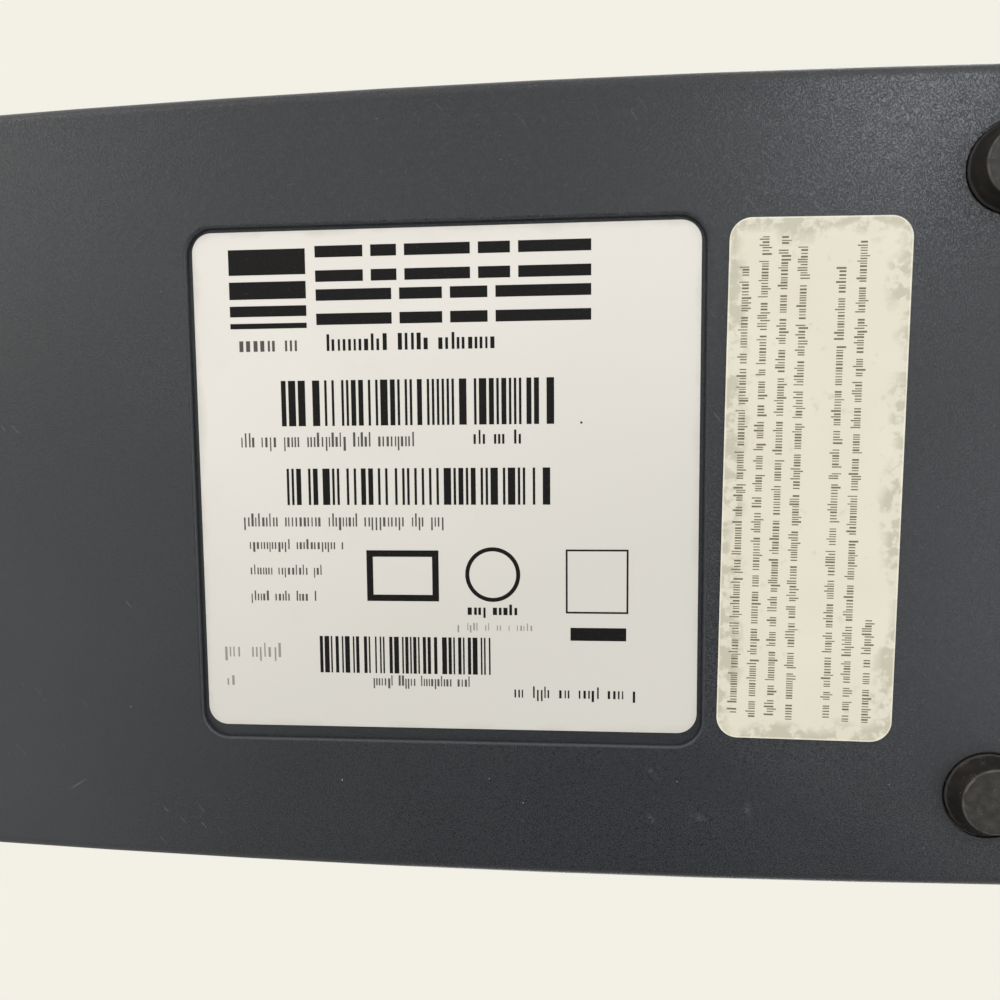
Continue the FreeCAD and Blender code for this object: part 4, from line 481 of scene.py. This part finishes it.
def moulded_plastic(name, first, second, grain_size, grain_depth, roughness, dust_share=0.0,
                    waxy=0.0):
    """A moulded plastic with its drift of colour, grain and uneven gloss."""
    finish, tree, shader, place = new_finish(name, roughness)
    colour = patchy(tree, place, TONE_SIZE, first, second)
    if dust_share:
        dust = dust_specks(tree, place, COVER_DUST_CELL, COVER_DUST_RADIUS, dust_share)
        colour = laid_over(tree, colour, "#A5A5A2", 0.6, dust)
    tree.links.new(colour, shader.inputs["Base Color"])
    gloss = ranged(tree, noise(tree, place, GLOSS_SIZE, 2.0), *WIDE_SPAN,
                   roughness - GLOSS_DRIFT, roughness + GLOSS_DRIFT)
    tree.links.new(gloss, shader.inputs["Roughness"])
    grain(tree, shader, noise(tree, place, grain_size, 1.5), grain_depth)
    shader.inputs["Subsurface Weight"].default_value = waxy
    shader.inputs["Subsurface Scale"].default_value = WAXY_DEPTH * MM
    return finish


for slot, values in MOULDED.items():
    keep(slot, moulded_plastic(*values))

# %% [markdown]
# ## Metals
# Shafts are ground, screws and plates are plated with zinc, the bushes are pressed from
# bronze powder, and the magnet has a nickel skin. What tells them apart is the direction
# and width of the fine lines left by the tool, and how far the tone drifts. The lines are
# noise, drawn out where the metal was ground, and used as relief and as uneven gloss.

# %% Finishes of the metals
TARNISH_SIZE, LINE_GLOSS, LINE_SPAN = 6.0, 0.08, (0.25, 0.75)
# Slot: a name, two near colours, the width of a line in millimetres, how far it is drawn
# out along each axis, its depth in millimetres, and the roughness.
METALS = {
    "steel": ("ground_steel", "#C3C5C8", "#B4B7BB", 0.12, (20, 20, 1), 0.004, 0.27),
    "plated_steel": ("zinc_plated_steel", "#C9CBCC", "#B9C0C6", 0.80, (1, 1, 1), 0.008, 0.36),
    "brass": ("sintered_bronze", "#A98A55", "#8E7245", 0.25, (1, 1, 1), 0.012, 0.45),
    "magnet": ("nickel_plated_magnet", "#CFCBC3", "#C2BEB6", 1.50, (1, 1, 1), 0.003, 0.16),
}


def worked_metal(name, first, second, line, stretch, depth, roughness):
    """A bare or plated metal with tool lines of a given width and direction."""
    finish, tree, shader, place = new_finish(name, roughness, metallic=1.0)
    tone = patchy(tree, place, TARNISH_SIZE, first, second)
    tree.links.new(tone, shader.inputs["Base Color"])
    lines = noise(tree, stretched(tree, place, *stretch), line, 2.0)
    gloss = ranged(tree, lines, *LINE_SPAN, roughness - LINE_GLOSS, roughness + LINE_GLOSS)
    tree.links.new(gloss, shader.inputs["Roughness"])
    grain(tree, shader, lines, depth)
    return finish


for slot, values in METALS.items():
    keep(slot, worked_metal(*values))

# %% [markdown]
# The motor's case is a stack of punched steel sheets under black lacquer, so its sides
# show level lines. A wave along the upright axis draws one line for every few sheets, and
# one unit of the wave texture holds a wave of 20 radians.

# %% Finish of the motor
SHEET_BAND, SHEET_RELIEF, WAVE_RADIANS = math.pi, 0.05, 20
finish, tree, shader, place = new_finish("lacquered_laminations", 0.38)
tree.links.new(patchy(tree, place, 12.0, "#1E1F21", "#292A2C"), shader.inputs["Base Color"])
sheets = add_node(tree, "TexWave", {"Vector": place,
                                    "Scale": math.tau / WAVE_RADIANS * per_mm(SHEET_BAND)},
                  bands_direction="Z").outputs[1]
grain(tree, shader, sheets, SHEET_RELIEF)
keep("motor_metal", finish)

# %% [markdown]
# ## Rubber, felt and belt
# Rubber takes its look from what happened after moulding: tyres are ground round, so they
# have level scratch lines; the friction pad is cut from a soft tan sheet with open pores;
# the belt is a thin black strip over woven cloth. Felt is a mat of short fibres, which
# catches light at its edge, and the shader's sheen stands for that.

# %% Finishes of rubber, felt and belt
SHEEN_ROUGHNESS = 0.4
# Slot: a name, two near colours, the size of a pore in millimetres, how far it is drawn
# out along each axis, its depth in millimetres, the roughness and the sheen.
SOFT_SHEETS = {
    "tyre_rubber": ("ground_grey_rubber", "#5B5C5E", "#4D4E50", 0.30, (6, 6, 1), 0.03, 0.78),
    "pad_rubber": ("tan_friction_rubber", "#B98A5C", "#A87A4E", 0.35, (1, 1, 1), 0.04, 0.72),
    "pad_felt": ("pressed_felt", "#2A2A2A", "#3A3A39", 0.22, (1, 3, 1), 0.10, 0.92, 0.6),
    "belt_rubber": ("cloth_backed_belt", "#1A1A1B", "#262627", 0.40, (1, 1, 1), 0.03, 0.62,
                    0.15),
}


def soft_sheet(name, first, second, pore, stretch, depth, roughness, sheen=0.0):
    """A matt soft material with pores, fibres or grinding lines."""
    finish, tree, shader, place = new_finish(name, roughness, ior=1.45)
    drawn = stretched(tree, place, *stretch)
    pores = noise(tree, drawn, pore, 3.0, 0.6)
    shade = mixed(tree, ranged(tree, pores, *MIDDLE_SPAN), linear(first), linear(second))
    tree.links.new(shade, shader.inputs["Base Color"])
    grain(tree, shader, pores, depth)
    shader.inputs["Sheen Weight"].default_value = sheen
    shader.inputs["Sheen Roughness"].default_value = SHEEN_ROUGHNESS
    return finish


for slot, values in SOFT_SHEETS.items():
    keep(slot, soft_sheet(*values))

# %% [markdown]
# ## Feet
# The feet are moulded in brown-black rubber and have stood on desks for years. The flat
# tip is scuffed grey, its rim has rubbed pale in a thin broken line, the cone is darker
# with brown stains, and the edge that meets the base holds a line of dust. All of it
# depends on the distance from the foot's own axis. Specks and a few curled fibres stick
# to the rubber everywhere.

# %% Finish of the feet
def band(tree, value, start, full, fade, end):
    """1 between full and fade, and 0 before start and after end."""
    return calc(tree, "MULTIPLY", ranged(tree, value, start, full),
                ranged(tree, value, end, fade))


# Radii in millimetres: where the flat tip ends, its rubbed rim, the dusty edge, and the gap,
# which is painted black as painted shade with some dirt.
TIP_RADII, RIM_RADII = (4.66, 4.52), (4.58, 4.70, 4.86, 4.96)
DUST_RADII, GAP_SHADE_RADII = (5.92, 6.06, 6.12, 6.22), (6.12, 6.24)
RAGGED_BY = 0.08
# How much of the rim is rubbed, how stained the cone is, and the lint and curled fibres.
RUBBED, STAINED, RUBBER_RELIEF = (0.35, 0.60, 0.35, 1.0), (0.42, 0.68), 0.04
LINT, FEW = ((1.2, 0.10, 0.30), (0.7, 0.06, 0.30)), (0.60, 0.68)
FIBRE_SIZE, FIBRE_CURL, FIBRE_BAND = 0.9, 2.5, (0.495, 0.505, 0.51, 0.52)
finish, tree, shader, place = new_finish("moulded_rubber_feet", 0.62, ior=1.35)
wear = noise(tree, place, 1.6, 3.0, 0.6)
ragged = calc(tree, "ADD", foot_radius(tree, place),
              ranged(tree, wear, 0, 1, -RAGGED_BY, RAGGED_BY))
tip = ranged(tree, ragged, *TIP_RADII)
rim = calc(tree, "MULTIPLY", band(tree, ragged, *RIM_RADII),
           ranged(tree, wear, *RUBBED))
scuffed = patchy(tree, place, 1.4, "#242220", "#34322F")
cone = patchy(tree, place, 1.8, "#0B0908", "#1B1612", STAINED)
colour = mixed(tree, tip, cone, scuffed)
colour = laid_over(tree, colour, "#5E5B55", 0.60, rim)
colour = laid_over(tree, colour, "#4C4A47", 0.50, band(tree, ragged, *DUST_RADII))
# Painted shade with some dirt: the rubber's edge in the gap at the base is painted black.
colour = laid_over(tree, colour, "#030303", 1.0, ragged, *GAP_SHADE_RADII)
for specks in LINT:
    colour = laid_over(tree, colour, "#9A968E", 0.5, dust_specks(tree, place, *specks))
curls = band(tree, noise(tree, place, FIBRE_SIZE, 1.0, 0.5, FIBRE_CURL), *FIBRE_BAND)
few = ranged(tree, noise(tree, place, 1.5, 1.0), *FEW)
colour = laid_over(tree, colour, "#9A968E", 0.35, calc(tree, "MULTIPLY", curls, few))
tree.links.new(colour, shader.inputs["Base Color"])
grain(tree, shader, noise(tree, place, 0.5, 3.0, 0.6), RUBBER_RELIEF)
keep("foot_rubber", finish)

# %% [markdown]
# ## Labels
# The white label is a polyester film with a semi-matt topcoat. It is almost one tone: a
# little yellow from age, painted darker towards the rear right as a painted shade, greyer
# where dirt gathers along its edge, and faintly smudged. The cream label is paper that was
# damp once: grey-green mottles creep in from its edges, furthest at its front end, and a
# paler line along its edge is a painted highlight. Both use the distance from the label's
# own edge, which is why the coordinates are first centred on the label with a Mapping node.

# %% Distance from a label's edge
EDGE_REACH = 100.0


def edge_distance(tree, place, centre, turn, width, length, corner):
    """Millimetres inwards from the outline of a rounded rectangle."""
    centred = add_node(tree, "Mapping", {"Vector": place, "Rotation": (0, 0, turn),
                                         "Location": (centre[0] * MM, centre[1] * MM, 0)},
                       vector_type="TEXTURE").outputs[0]
    folded = add_node(tree, "VectorMath", {0: centred}, operation="ABSOLUTE").outputs[0]
    core = ((width / 2 - corner) * MM, (length / 2 - corner) * MM, 1.0)
    beyond = add_node(tree, "VectorMath", {0: folded, 1: core}, operation="SUBTRACT").outputs[0]
    outside = add_node(tree, "VectorMath", {0: beyond, 1: (0, 0, 0)},
                       operation="MAXIMUM").outputs[0]
    round_part = add_node(tree, "VectorMath", {0: outside}, operation="LENGTH").outputs["Value"]
    parts = add_node(tree, "SeparateXYZ", {0: beyond})
    larger = calc(tree, "MAXIMUM", parts.outputs["X"], parts.outputs["Y"])
    reach = calc(tree, "ADD", round_part, calc(tree, "MINIMUM", larger, 0.0))
    return ranged(tree, reach, (corner - EDGE_REACH) * MM, corner * MM, EDGE_REACH, 0.0)


# %% Finish of the white rating label
label_low, label_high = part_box("rating_label")
label_centre = ((label_low + label_high) / 2) / MM
LABEL_SIDE, LABEL_CORNER = 76.2, 3.0
SHADE_FROM, SHADE_TO = -19 * MM, 26 * MM
# How far dirt gathers from the edge in millimetres, how ragged it is, and the faint smudges.
DIRTY_EDGE, DIRT_RAGGED, SMUDGED_SPAN, FILM_RELIEF = (0.9, -0.3), 0.7, (0.60, 0.75), 0.004
finish, tree, shader, place = new_finish("semi_matt_polyester_label", 0.46)
film = patchy(tree, place, 30.0, "#D3D0C9", "#D0CDC6")
# Painted shade: the film is painted darker towards the rear right, where less light falls.
film = laid_over(tree, film, "#C4C2BB", 1.0, towards(tree, place, 0.4, 0.9),
                 SHADE_FROM, SHADE_TO)
inwards = edge_distance(tree, place, label_centre, 0, LABEL_SIDE, LABEL_SIDE, LABEL_CORNER)
cloud = noise(tree, place, 7.0, 4.0, 0.6)
ragged = calc(tree, "ADD", inwards,
              ranged(tree, cloud, *WIDE_SPAN, -DIRT_RAGGED, DIRT_RAGGED))
film = laid_over(tree, film, "#B5B2A8", 0.45, ragged, *DIRTY_EDGE)
film = laid_over(tree, film, "#B9B4A6", 0.08, cloud, *SMUDGED_SPAN)
tree.links.new(film, shader.inputs["Base Color"])
grain(tree, shader, noise(tree, place, 0.7, 2.0), FILM_RELIEF)
keep("white_label", finish)

# %% Finish of the cream notice label
notice_low, notice_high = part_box("notice_label")
notice_centre = ((notice_low + notice_high) / 2) / MM
NOTICE_WIDTH, NOTICE_LENGTH, NOTICE_CORNER = 25.4, 76.2, 3.1
NOTICE_TURN = math.radians(0.77)
DAMP_FROM, DAMP_TO, DAMP_DEPTH = 33, 38, 1.8
# The mottles: how far their border wanders, where they fade, and how their flecks break up.
WANDER, FADE_OUT, FLECKS = (0.6, -2.2), (1.9, 0.1), (0.43, 0.55, 0.10, 1.0)
FRECKLES, EDGE_HIGHLIGHT, PAPER_RELIEF = (0.66, 0.78), (0.24, 0.14), 0.008
finish, tree, shader, place = new_finish("aged_cream_paper", 0.62)
paper = patchy(tree, place, 18.0, "#CFCBBB", "#CBC6B5")
inwards = edge_distance(tree, place, notice_centre, NOTICE_TURN, NOTICE_WIDTH, NOTICE_LENGTH,
                        NOTICE_CORNER)
creep = ranged(tree, noise(tree, place, 7.0, 2.0), *MIDDLE_SPAN, *WANDER)
along = add_node(tree, "SeparateXYZ", {0: place}).outputs["Y"]
damp_end = ranged(tree, along, (notice_centre.y - DAMP_FROM) * MM,
                  (notice_centre.y - DAMP_TO) * MM, 0.0, DAMP_DEPTH)
depth_in = calc(tree, "SUBTRACT", calc(tree, "ADD", inwards, creep), damp_end)
zone = ranged(tree, depth_in, *FADE_OUT)
flecks = ranged(tree, noise(tree, place, 1.7, 3.0, 0.55), *FLECKS)
paper = laid_over(tree, paper, "#A19F8A", 0.66, calc(tree, "MULTIPLY", zone, flecks))
paper = laid_over(tree, paper, "#A8A892", 0.35, noise(tree, place, 1.8, 2.0), *FRECKLES)
# Painted highlight: a thin paler line along the label's edge, where the edge catches the light.
paper = laid_over(tree, paper, "#E6E2D2", 0.5, inwards, *EDGE_HIGHLIGHT)
tree.links.new(paper, shader.inputs["Base Color"])
grain(tree, shader, noise(tree, place, 0.5, 3.0), PAPER_RELIEF)
keep("cream_label", finish)
print("label centres", [round(value, 2) for value in (*label_centre, *notice_centre)])

# %% [markdown]
# ## Glass, light pipe and circuit boards
# The sensor glasses are plain float glass, faintly green. The lamp's light pipe is clear
# moulded acrylic. A circuit board is green solder mask over copper lines, and the packages
# on it are black. A board is one solid here, so the height decides between the two: the
# top of the main board is packages, and the switch board above it is all mask.

# %% Finishes of glass, light pipe and boards
def clear_material(name, first, second, drift, roughness, ior, clearness, ripple, depth):
    """Glass or clear plastic with a faint drifting tint and shallow ripples."""
    finish, tree, shader, place = new_finish(name, roughness, ior=ior)
    tree.links.new(patchy(tree, place, drift, first, second), shader.inputs["Base Color"])
    shader.inputs["Transmission Weight"].default_value = clearness
    grain(tree, shader, noise(tree, place, ripple, 1.0), depth)
    return finish


keep("sensor_glass", clear_material("float_glass", "#DDE9E2", "#E6F0EA", 20.0,
                                    0.03, 1.52, 1.0, 6.0, 0.002))
keep("lens_plastic", clear_material("clear_acrylic_pipe", "#CFE6D4", "#DDEFE0", 4.0,
                                    0.08, 1.49, 0.85, 0.8, 0.004))

board_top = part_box("main_board")[1].z
PACKAGE_HEIGHT, TRACE_CELL, TRACE_LINE, TRACE_RELIEF = 1.6, 3.0, 0.06, 0.02
# Heights from the top of the main board: in packages, and then in millimetres.
PACKAGE_FROM, PACKAGE_FULL, UPRIGHT_FROM, UPRIGHT_FULL = -1.0, -0.9, 1.0, 2.0
finish, tree, shader, place = new_finish("solder_mask_board", 0.32)
mask = patchy(tree, place, 8.0, "#1E5B36", "#1A5231")
traces = add_node(tree, "TexBrick", {"Vector": place, "Scale": per_mm(TRACE_CELL),
                                     "Mortar Size": TRACE_LINE, "Color1": linear("#000000"),
                                     "Color2": linear("#000000"),
                                     "Mortar": linear("#FFFFFF")}).outputs["Color"]
mask = laid_over(tree, mask, "#3B8052", 0.5, traces)
level = add_node(tree, "SeparateXYZ", {0: place}).outputs["Z"]
package = ranged(tree, level, board_top + PACKAGE_FROM * PACKAGE_HEIGHT * MM,
                 board_top + PACKAGE_FULL * PACKAGE_HEIGHT * MM)
upright_board = ranged(tree, level, board_top + UPRIGHT_FROM * MM,
                       board_top + UPRIGHT_FULL * MM)
package = calc(tree, "SUBTRACT", package, upright_board, use_clamp=True)
tree.links.new(mixed(tree, package, mask, linear("#17181A")), shader.inputs["Base Color"])
grain(tree, shader, traces, TRACE_RELIEF)
keep("circuit_board", finish)

# %% [markdown]
# ## Give every CAD piece its finish
# The record says which material slot each piece uses, so one loop dresses them all.

# %% Dress the CAD pieces
for part in frame["record"]["subparts"]:
    piece = nodes[part["node"]]
    for slot in piece.material_slots:
        slot.material = finishes[part["material_slot"]]

# %% [markdown]
# ## Printed marks
# A printed mark has no thickness to speak of. It is modelled as a thin slab that stands
# 0.012 mm proud of the label and reaches into it, so it never flickers against the label's
# face and has a real edge from any angle. Every mark is a cube that is scaled to size,
# which keeps hundreds of them light. A random source with a fixed seed decides the widths,
# so each run prints the same label. No mark is a letter: lines of small type become ticks
# of uneven height in groups as long as words.

# %% Helpers for printed marks
INK_PROUD, INK_THICK = 0.012, 0.03
# Widths of bars in modules, and of ticks and gaps as multiples of a plain one.
BAR_WIDTHS, TICK_WIDTHS, TICK_GAPS = (1, 1, 1, 2, 2, 3), (0.8, 1.0, 1.0, 1.5), (0.8, 1.0, 1.3)
# Most ticks keep to the middle of the line. Below one draw they reach down, above another up.
BODY_LOW, BODY_HIGH, DEEP_BELOW, TALL_ABOVE = 0.22, 0.76, 0.10, 0.80
WORD_GAP = 3.0
INK_SPECK, INK_WORN, INK_RELIEF = 0.35, (0.60, 0.76), 0.003
random.seed(5)


def ink_finish(name, first, second, roughness):
    """Thermal ink: dark, a little uneven where the print head missed the film."""
    finish, tree, shader, place = new_finish(name, roughness, ior=1.25)
    worn = ranged(tree, noise(tree, place, INK_SPECK, 3.0, 0.7), *INK_WORN)
    tree.links.new(mixed(tree, worn, linear(first), linear(second)),
                   shader.inputs["Base Color"])
    grain(tree, shader, noise(tree, place, 0.6, 2.0), INK_RELIEF)
    return finish


def stamp(marks, x0, x1, y0, y1, face):
    """Add one slab between these places, in millimetres, just under a label's face."""
    middle = Vector(((x0 + x1) / 2, (y0 + y1) / 2, face - INK_PROUD + INK_THICK / 2)) * MM
    sides = (abs(x1 - x0) * MM, abs(y1 - y0) * MM, INK_THICK * MM, 1)
    bmesh.ops.create_cube(marks, size=1, matrix=Matrix.Translation(middle) @
                          Matrix.Diagonal(sides))


def bar_code(marks, x0, x1, y0, y1, face, module):
    """Random upright bars, one to three modules wide, that fill a width exactly."""
    x = x0
    while x < x1 - module:
        width = module * random.choice(BAR_WIDTHS)
        stamp(marks, x, min(x + width, x1), y0, y1, face)
        x += width + module * random.choice(BAR_WIDTHS)


def tick_line(start, length, height, place_tick, tick, gap, word):
    """Ticks in word-like groups. place_tick turns a run along the line into a slab."""
    body_low, body_high = BODY_LOW * height, BODY_HIGH * height
    end = start + length
    run = start
    while run < end - tick:
        for _ in range(random.randint(word // 3, word + word // 2)):
            if run > end - tick:
                break
            rise = random.random()
            low = 0.0 if rise < DEEP_BELOW else body_low
            high = height if rise > TALL_ABOVE else body_high
            width = tick * random.choice(TICK_WIDTHS)
            place_tick(run, run + width, low, high)
            run += width + gap * random.choice(TICK_GAPS)
        run += WORD_GAP * gap


def finish_piece(shape, name, body, finish):
    """Turn a bmesh into an object that rides on a body and wears a finish."""
    mesh = bpy.data.meshes.new(name)
    shape.to_mesh(mesh)
    shape.free()
    mesh.materials.append(finish)
    piece = bpy.data.objects.new(name, mesh)
    scene.collection.objects.link(piece)
    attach(piece, body)
    print(name, len(mesh.polygons), "faces")


# %% [markdown]
# ## The rating label's print
# Places are in millimetres from the label's centre: x to the right and y towards the rear,
# which is down in the photograph. Bars of falling thickness and two slit rows stand at the
# head of the label, then rows of type, three bar codes and a few empty outlines. The
# print head left some rows weaker than others, so there are three inks.

# %% Helpers that place marks on the rating label
label_face = label_low.z / MM
RING_STEPS = 48


def on_label(marks, x0, x1, y0, y1):
    """Add one slab to the rating label, between places from its centre."""
    stamp(marks, label_centre.x + x0, label_centre.x + x1,
          label_centre.y + y0, label_centre.y + y1, label_face)


def label_ticks(marks, x0, x1, y0, y1, tick=0.24, gap=0.30, word=9):
    """A line of small type between x0 and x1, with its foot on y1."""
    def place_tick(run, end, low, high):
        on_label(marks, run, end, y1 - high, y1 - low)
    tick_line(x0, x1 - x0, y1 - y0, place_tick, tick, gap, word)


def outline_box(marks, x0, x1, y0, y1, line):
    """An empty box drawn with four slabs."""
    on_label(marks, x0, x1, y0, y0 + line)
    on_label(marks, x0, x1, y1 - line, y1)
    on_label(marks, x0, x0 + line, y0 + line, y1 - line)
    on_label(marks, x1 - line, x1, y0 + line, y1 - line)


def outline_ring(marks, x, y, radius, line):
    """A ring: one cross-section spun a full turn about the ring's axis."""
    middle = Vector((label_centre.x + x, label_centre.y + y,
                     label_face - INK_PROUD + INK_THICK / 2)) * MM
    size = Matrix.Diagonal((line * MM, 0, INK_THICK * MM, 1))
    place = Matrix.Translation(middle + Vector((radius * MM, 0, 0))) @ size
    upright = Matrix.Rotation(math.radians(90), 4, "X")
    section = bmesh.ops.create_grid(marks, x_segments=1, y_segments=1, size=0.5,
                                    matrix=place @ upright)
    faces = list(dict.fromkeys(face for vert in section["verts"] for face in vert.link_faces))
    edges = list(dict.fromkeys(edge for vert in section["verts"] for edge in vert.link_edges))
    bmesh.ops.spin(marks, geom=faces + edges + section["verts"], cent=middle,
                   axis=(0, 0, 1), angle=math.tau, steps=RING_STEPS, use_merge=True)
    bmesh.ops.delete(marks, geom=[face for face in faces if face.is_valid],
                     context="FACES_ONLY")


# %% Print the black marks of the rating label
BARS_LEFT, BARS_RIGHT, BARS_TOP, BAR_GAP = -32.5, -20.6, -35.5, 1.0
BAR_THICKNESSES = (3.8, 2.6, 1.6, 0.8)
ROW_LEFT, ROW_LENGTH, ROW_HEIGHT, ROW_SLIT, BLOCK_GAP = -19.1, 42.5, 5.3, 1.9, 1.2
# Each row: where it starts, and the share of its length that each block takes.
ROWS = ((-35.8, (0.20, 0.12, 0.26, 0.14, 0.28)), (-29.4, (0.30, 0.18, 0.16, 0.36)))
# Each bar code: its two sides in x, its two sides in y, and its narrowest bar.
BAR_CODES = ((-24.9, 16.8, -15.8, -8.9, 0.375), (-24.4, 16.8, -2.4, 3.2, 0.375),
             (-19.9, 7.1, 23.7, 29.5, 0.25))
# Each line of type: its sides in x and in y, a tick, a gap and the ticks in a word. The
# last three may be left out.
BLACK_TYPE = ((-17.6, 8.0, -22.7, -19.5, 0.42, 0.42, 9), (4.6, 12.0, -8.1, -5.4, 0.34, 0.34, 7),
              (3.4, 11.4, 18.5, 20.6, 0.42, 0.28, 7), (10.5, 29.0, 31.2, 33.5, 0.24, 0.36, 5))
# Single blocks have two sides in x and in y, boxes a line width too. A ring has a centre.
BLOCKS = ((19.1, 27.5, 22.0, 24.0), (20.6, 20.9, -9.2, -8.9))
BOXES = ((-12.2, -1.0, 10.2, 18.1, 1.0), (18.4, 27.8, 10.0, 19.8, 0.28))
RING = (7.3, 13.9, 3.9, 0.62)
black_marks = bmesh.new()
y = BARS_TOP
for thickness in BAR_THICKNESSES:
    on_label(black_marks, BARS_LEFT, BARS_RIGHT, y, y + thickness)
    y += thickness + BAR_GAP
stripe = (ROW_HEIGHT - ROW_SLIT) / 2
for y, shares in ROWS:
    x = ROW_LEFT
    for share in shares:
        width = share * ROW_LENGTH
        on_label(black_marks, x, x + width - BLOCK_GAP, y, y + stripe)
        on_label(black_marks, x, x + width - BLOCK_GAP, y + stripe + ROW_SLIT, y + ROW_HEIGHT)
        x += width
for x0, x1, y0, y1, module in BAR_CODES:
    bar_code(black_marks, label_centre.x + x0, label_centre.x + x1,
             label_centre.y + y0, label_centre.y + y1, label_face, module)
for line in BLACK_TYPE:
    label_ticks(black_marks, *line)
for block in BLOCKS:
    on_label(black_marks, *block)
for box in BOXES:
    outline_box(black_marks, *box)
outline_ring(black_marks, *RING)
black_ink = ink_finish("black_thermal_ink", "#0D0C0C", "#302E2C", 0.6)
finish_piece(black_marks, "rating_print", "base", black_ink)

# %% Print the two weaker inks
GREY_TYPE = ((-31.2, -20.5, -22.6, -19.6, 0.42, 0.42, 6), (-31.4, -4.4, -7.9, -5.1),
             (-31.4, 0.6, 4.5, 7.1), (-30.6, -15.8, 8.5, 10.5, 0.22, 0.26),
             (-30.6, -19.1, 12.5, 14.5, 0.22, 0.26), (-30.6, -19.9, 16.6, 18.6, 0.22, 0.26),
             (-11.5, 4.0, 29.8, 31.9, 0.22, 0.24))
PALE_TYPE = ((-35.2, -25.2, 24.9, 27.8, 0.26, 0.46, 5), (-35.0, -33.2, 30.2, 32.2, 0.26, 0.40, 3),
             (1.8, 13.4, 21.4, 22.9, 0.16, 0.30, 5))
grey_marks = bmesh.new()
for line in GREY_TYPE:
    label_ticks(grey_marks, *line)
grey_ink = ink_finish("weak_thermal_ink", "#4C4A46", "#6E6B65", 0.5)
finish_piece(grey_marks, "rating_print_grey", "base", grey_ink)

pale_marks = bmesh.new()
for line in PALE_TYPE:
    label_ticks(pale_marks, *line)
pale_ink = ink_finish("worn_thermal_ink", "#8A877F", "#A8A49A", 0.5)
finish_piece(pale_marks, "rating_print_pale", "base", pale_ink)

# %% [markdown]
# ## The notice label's print
# Seven lines run up the cream label, four and then three, and the last one is short. The
# label was stuck on by hand and stands 0.77 degrees off true, so the whole print is turned
# about the label's centre after it is made, in the mesh itself.

# %% Print the notice label
notice_face = notice_low.z / MM
notice_marks = bmesh.new()
LINE_HEIGHT, NOTICE_TICK, NOTICE_GAP, NOTICE_WORD = 1.75, 0.17, 0.21, 10
# Each line: its place across the label, and its two ends along it.
LINES = ((-11.2, -31.2, 34.6), (-8.5, -35.4, 34.9), (-5.8, -35.4, 34.8), (-3.1, -33.9, 35.2),
         (2.3, -31.0, 35.0), (5.1, -34.6, 35.2), (7.9, 19.8, 35.3))
for x, y_start, y_end in LINES:
    def place_tick(run, end, low, high, x=x):
        stamp(notice_marks, notice_centre.x + x + LINE_HEIGHT - high,
              notice_centre.x + x + LINE_HEIGHT - low,
              notice_centre.y + run, notice_centre.y + end, notice_face)
    tick_line(y_start, y_end - y_start, LINE_HEIGHT, place_tick,
              NOTICE_TICK, NOTICE_GAP, NOTICE_WORD)
bmesh.ops.rotate(notice_marks, verts=notice_marks.verts, cent=notice_centre * MM,
                 matrix=Matrix.Rotation(NOTICE_TURN, 3, "Z"))
notice_ink = ink_finish("brown_offset_ink", "#6A6452", "#8E8870", 0.6)
finish_piece(notice_marks, "notice_print", "base", notice_ink)
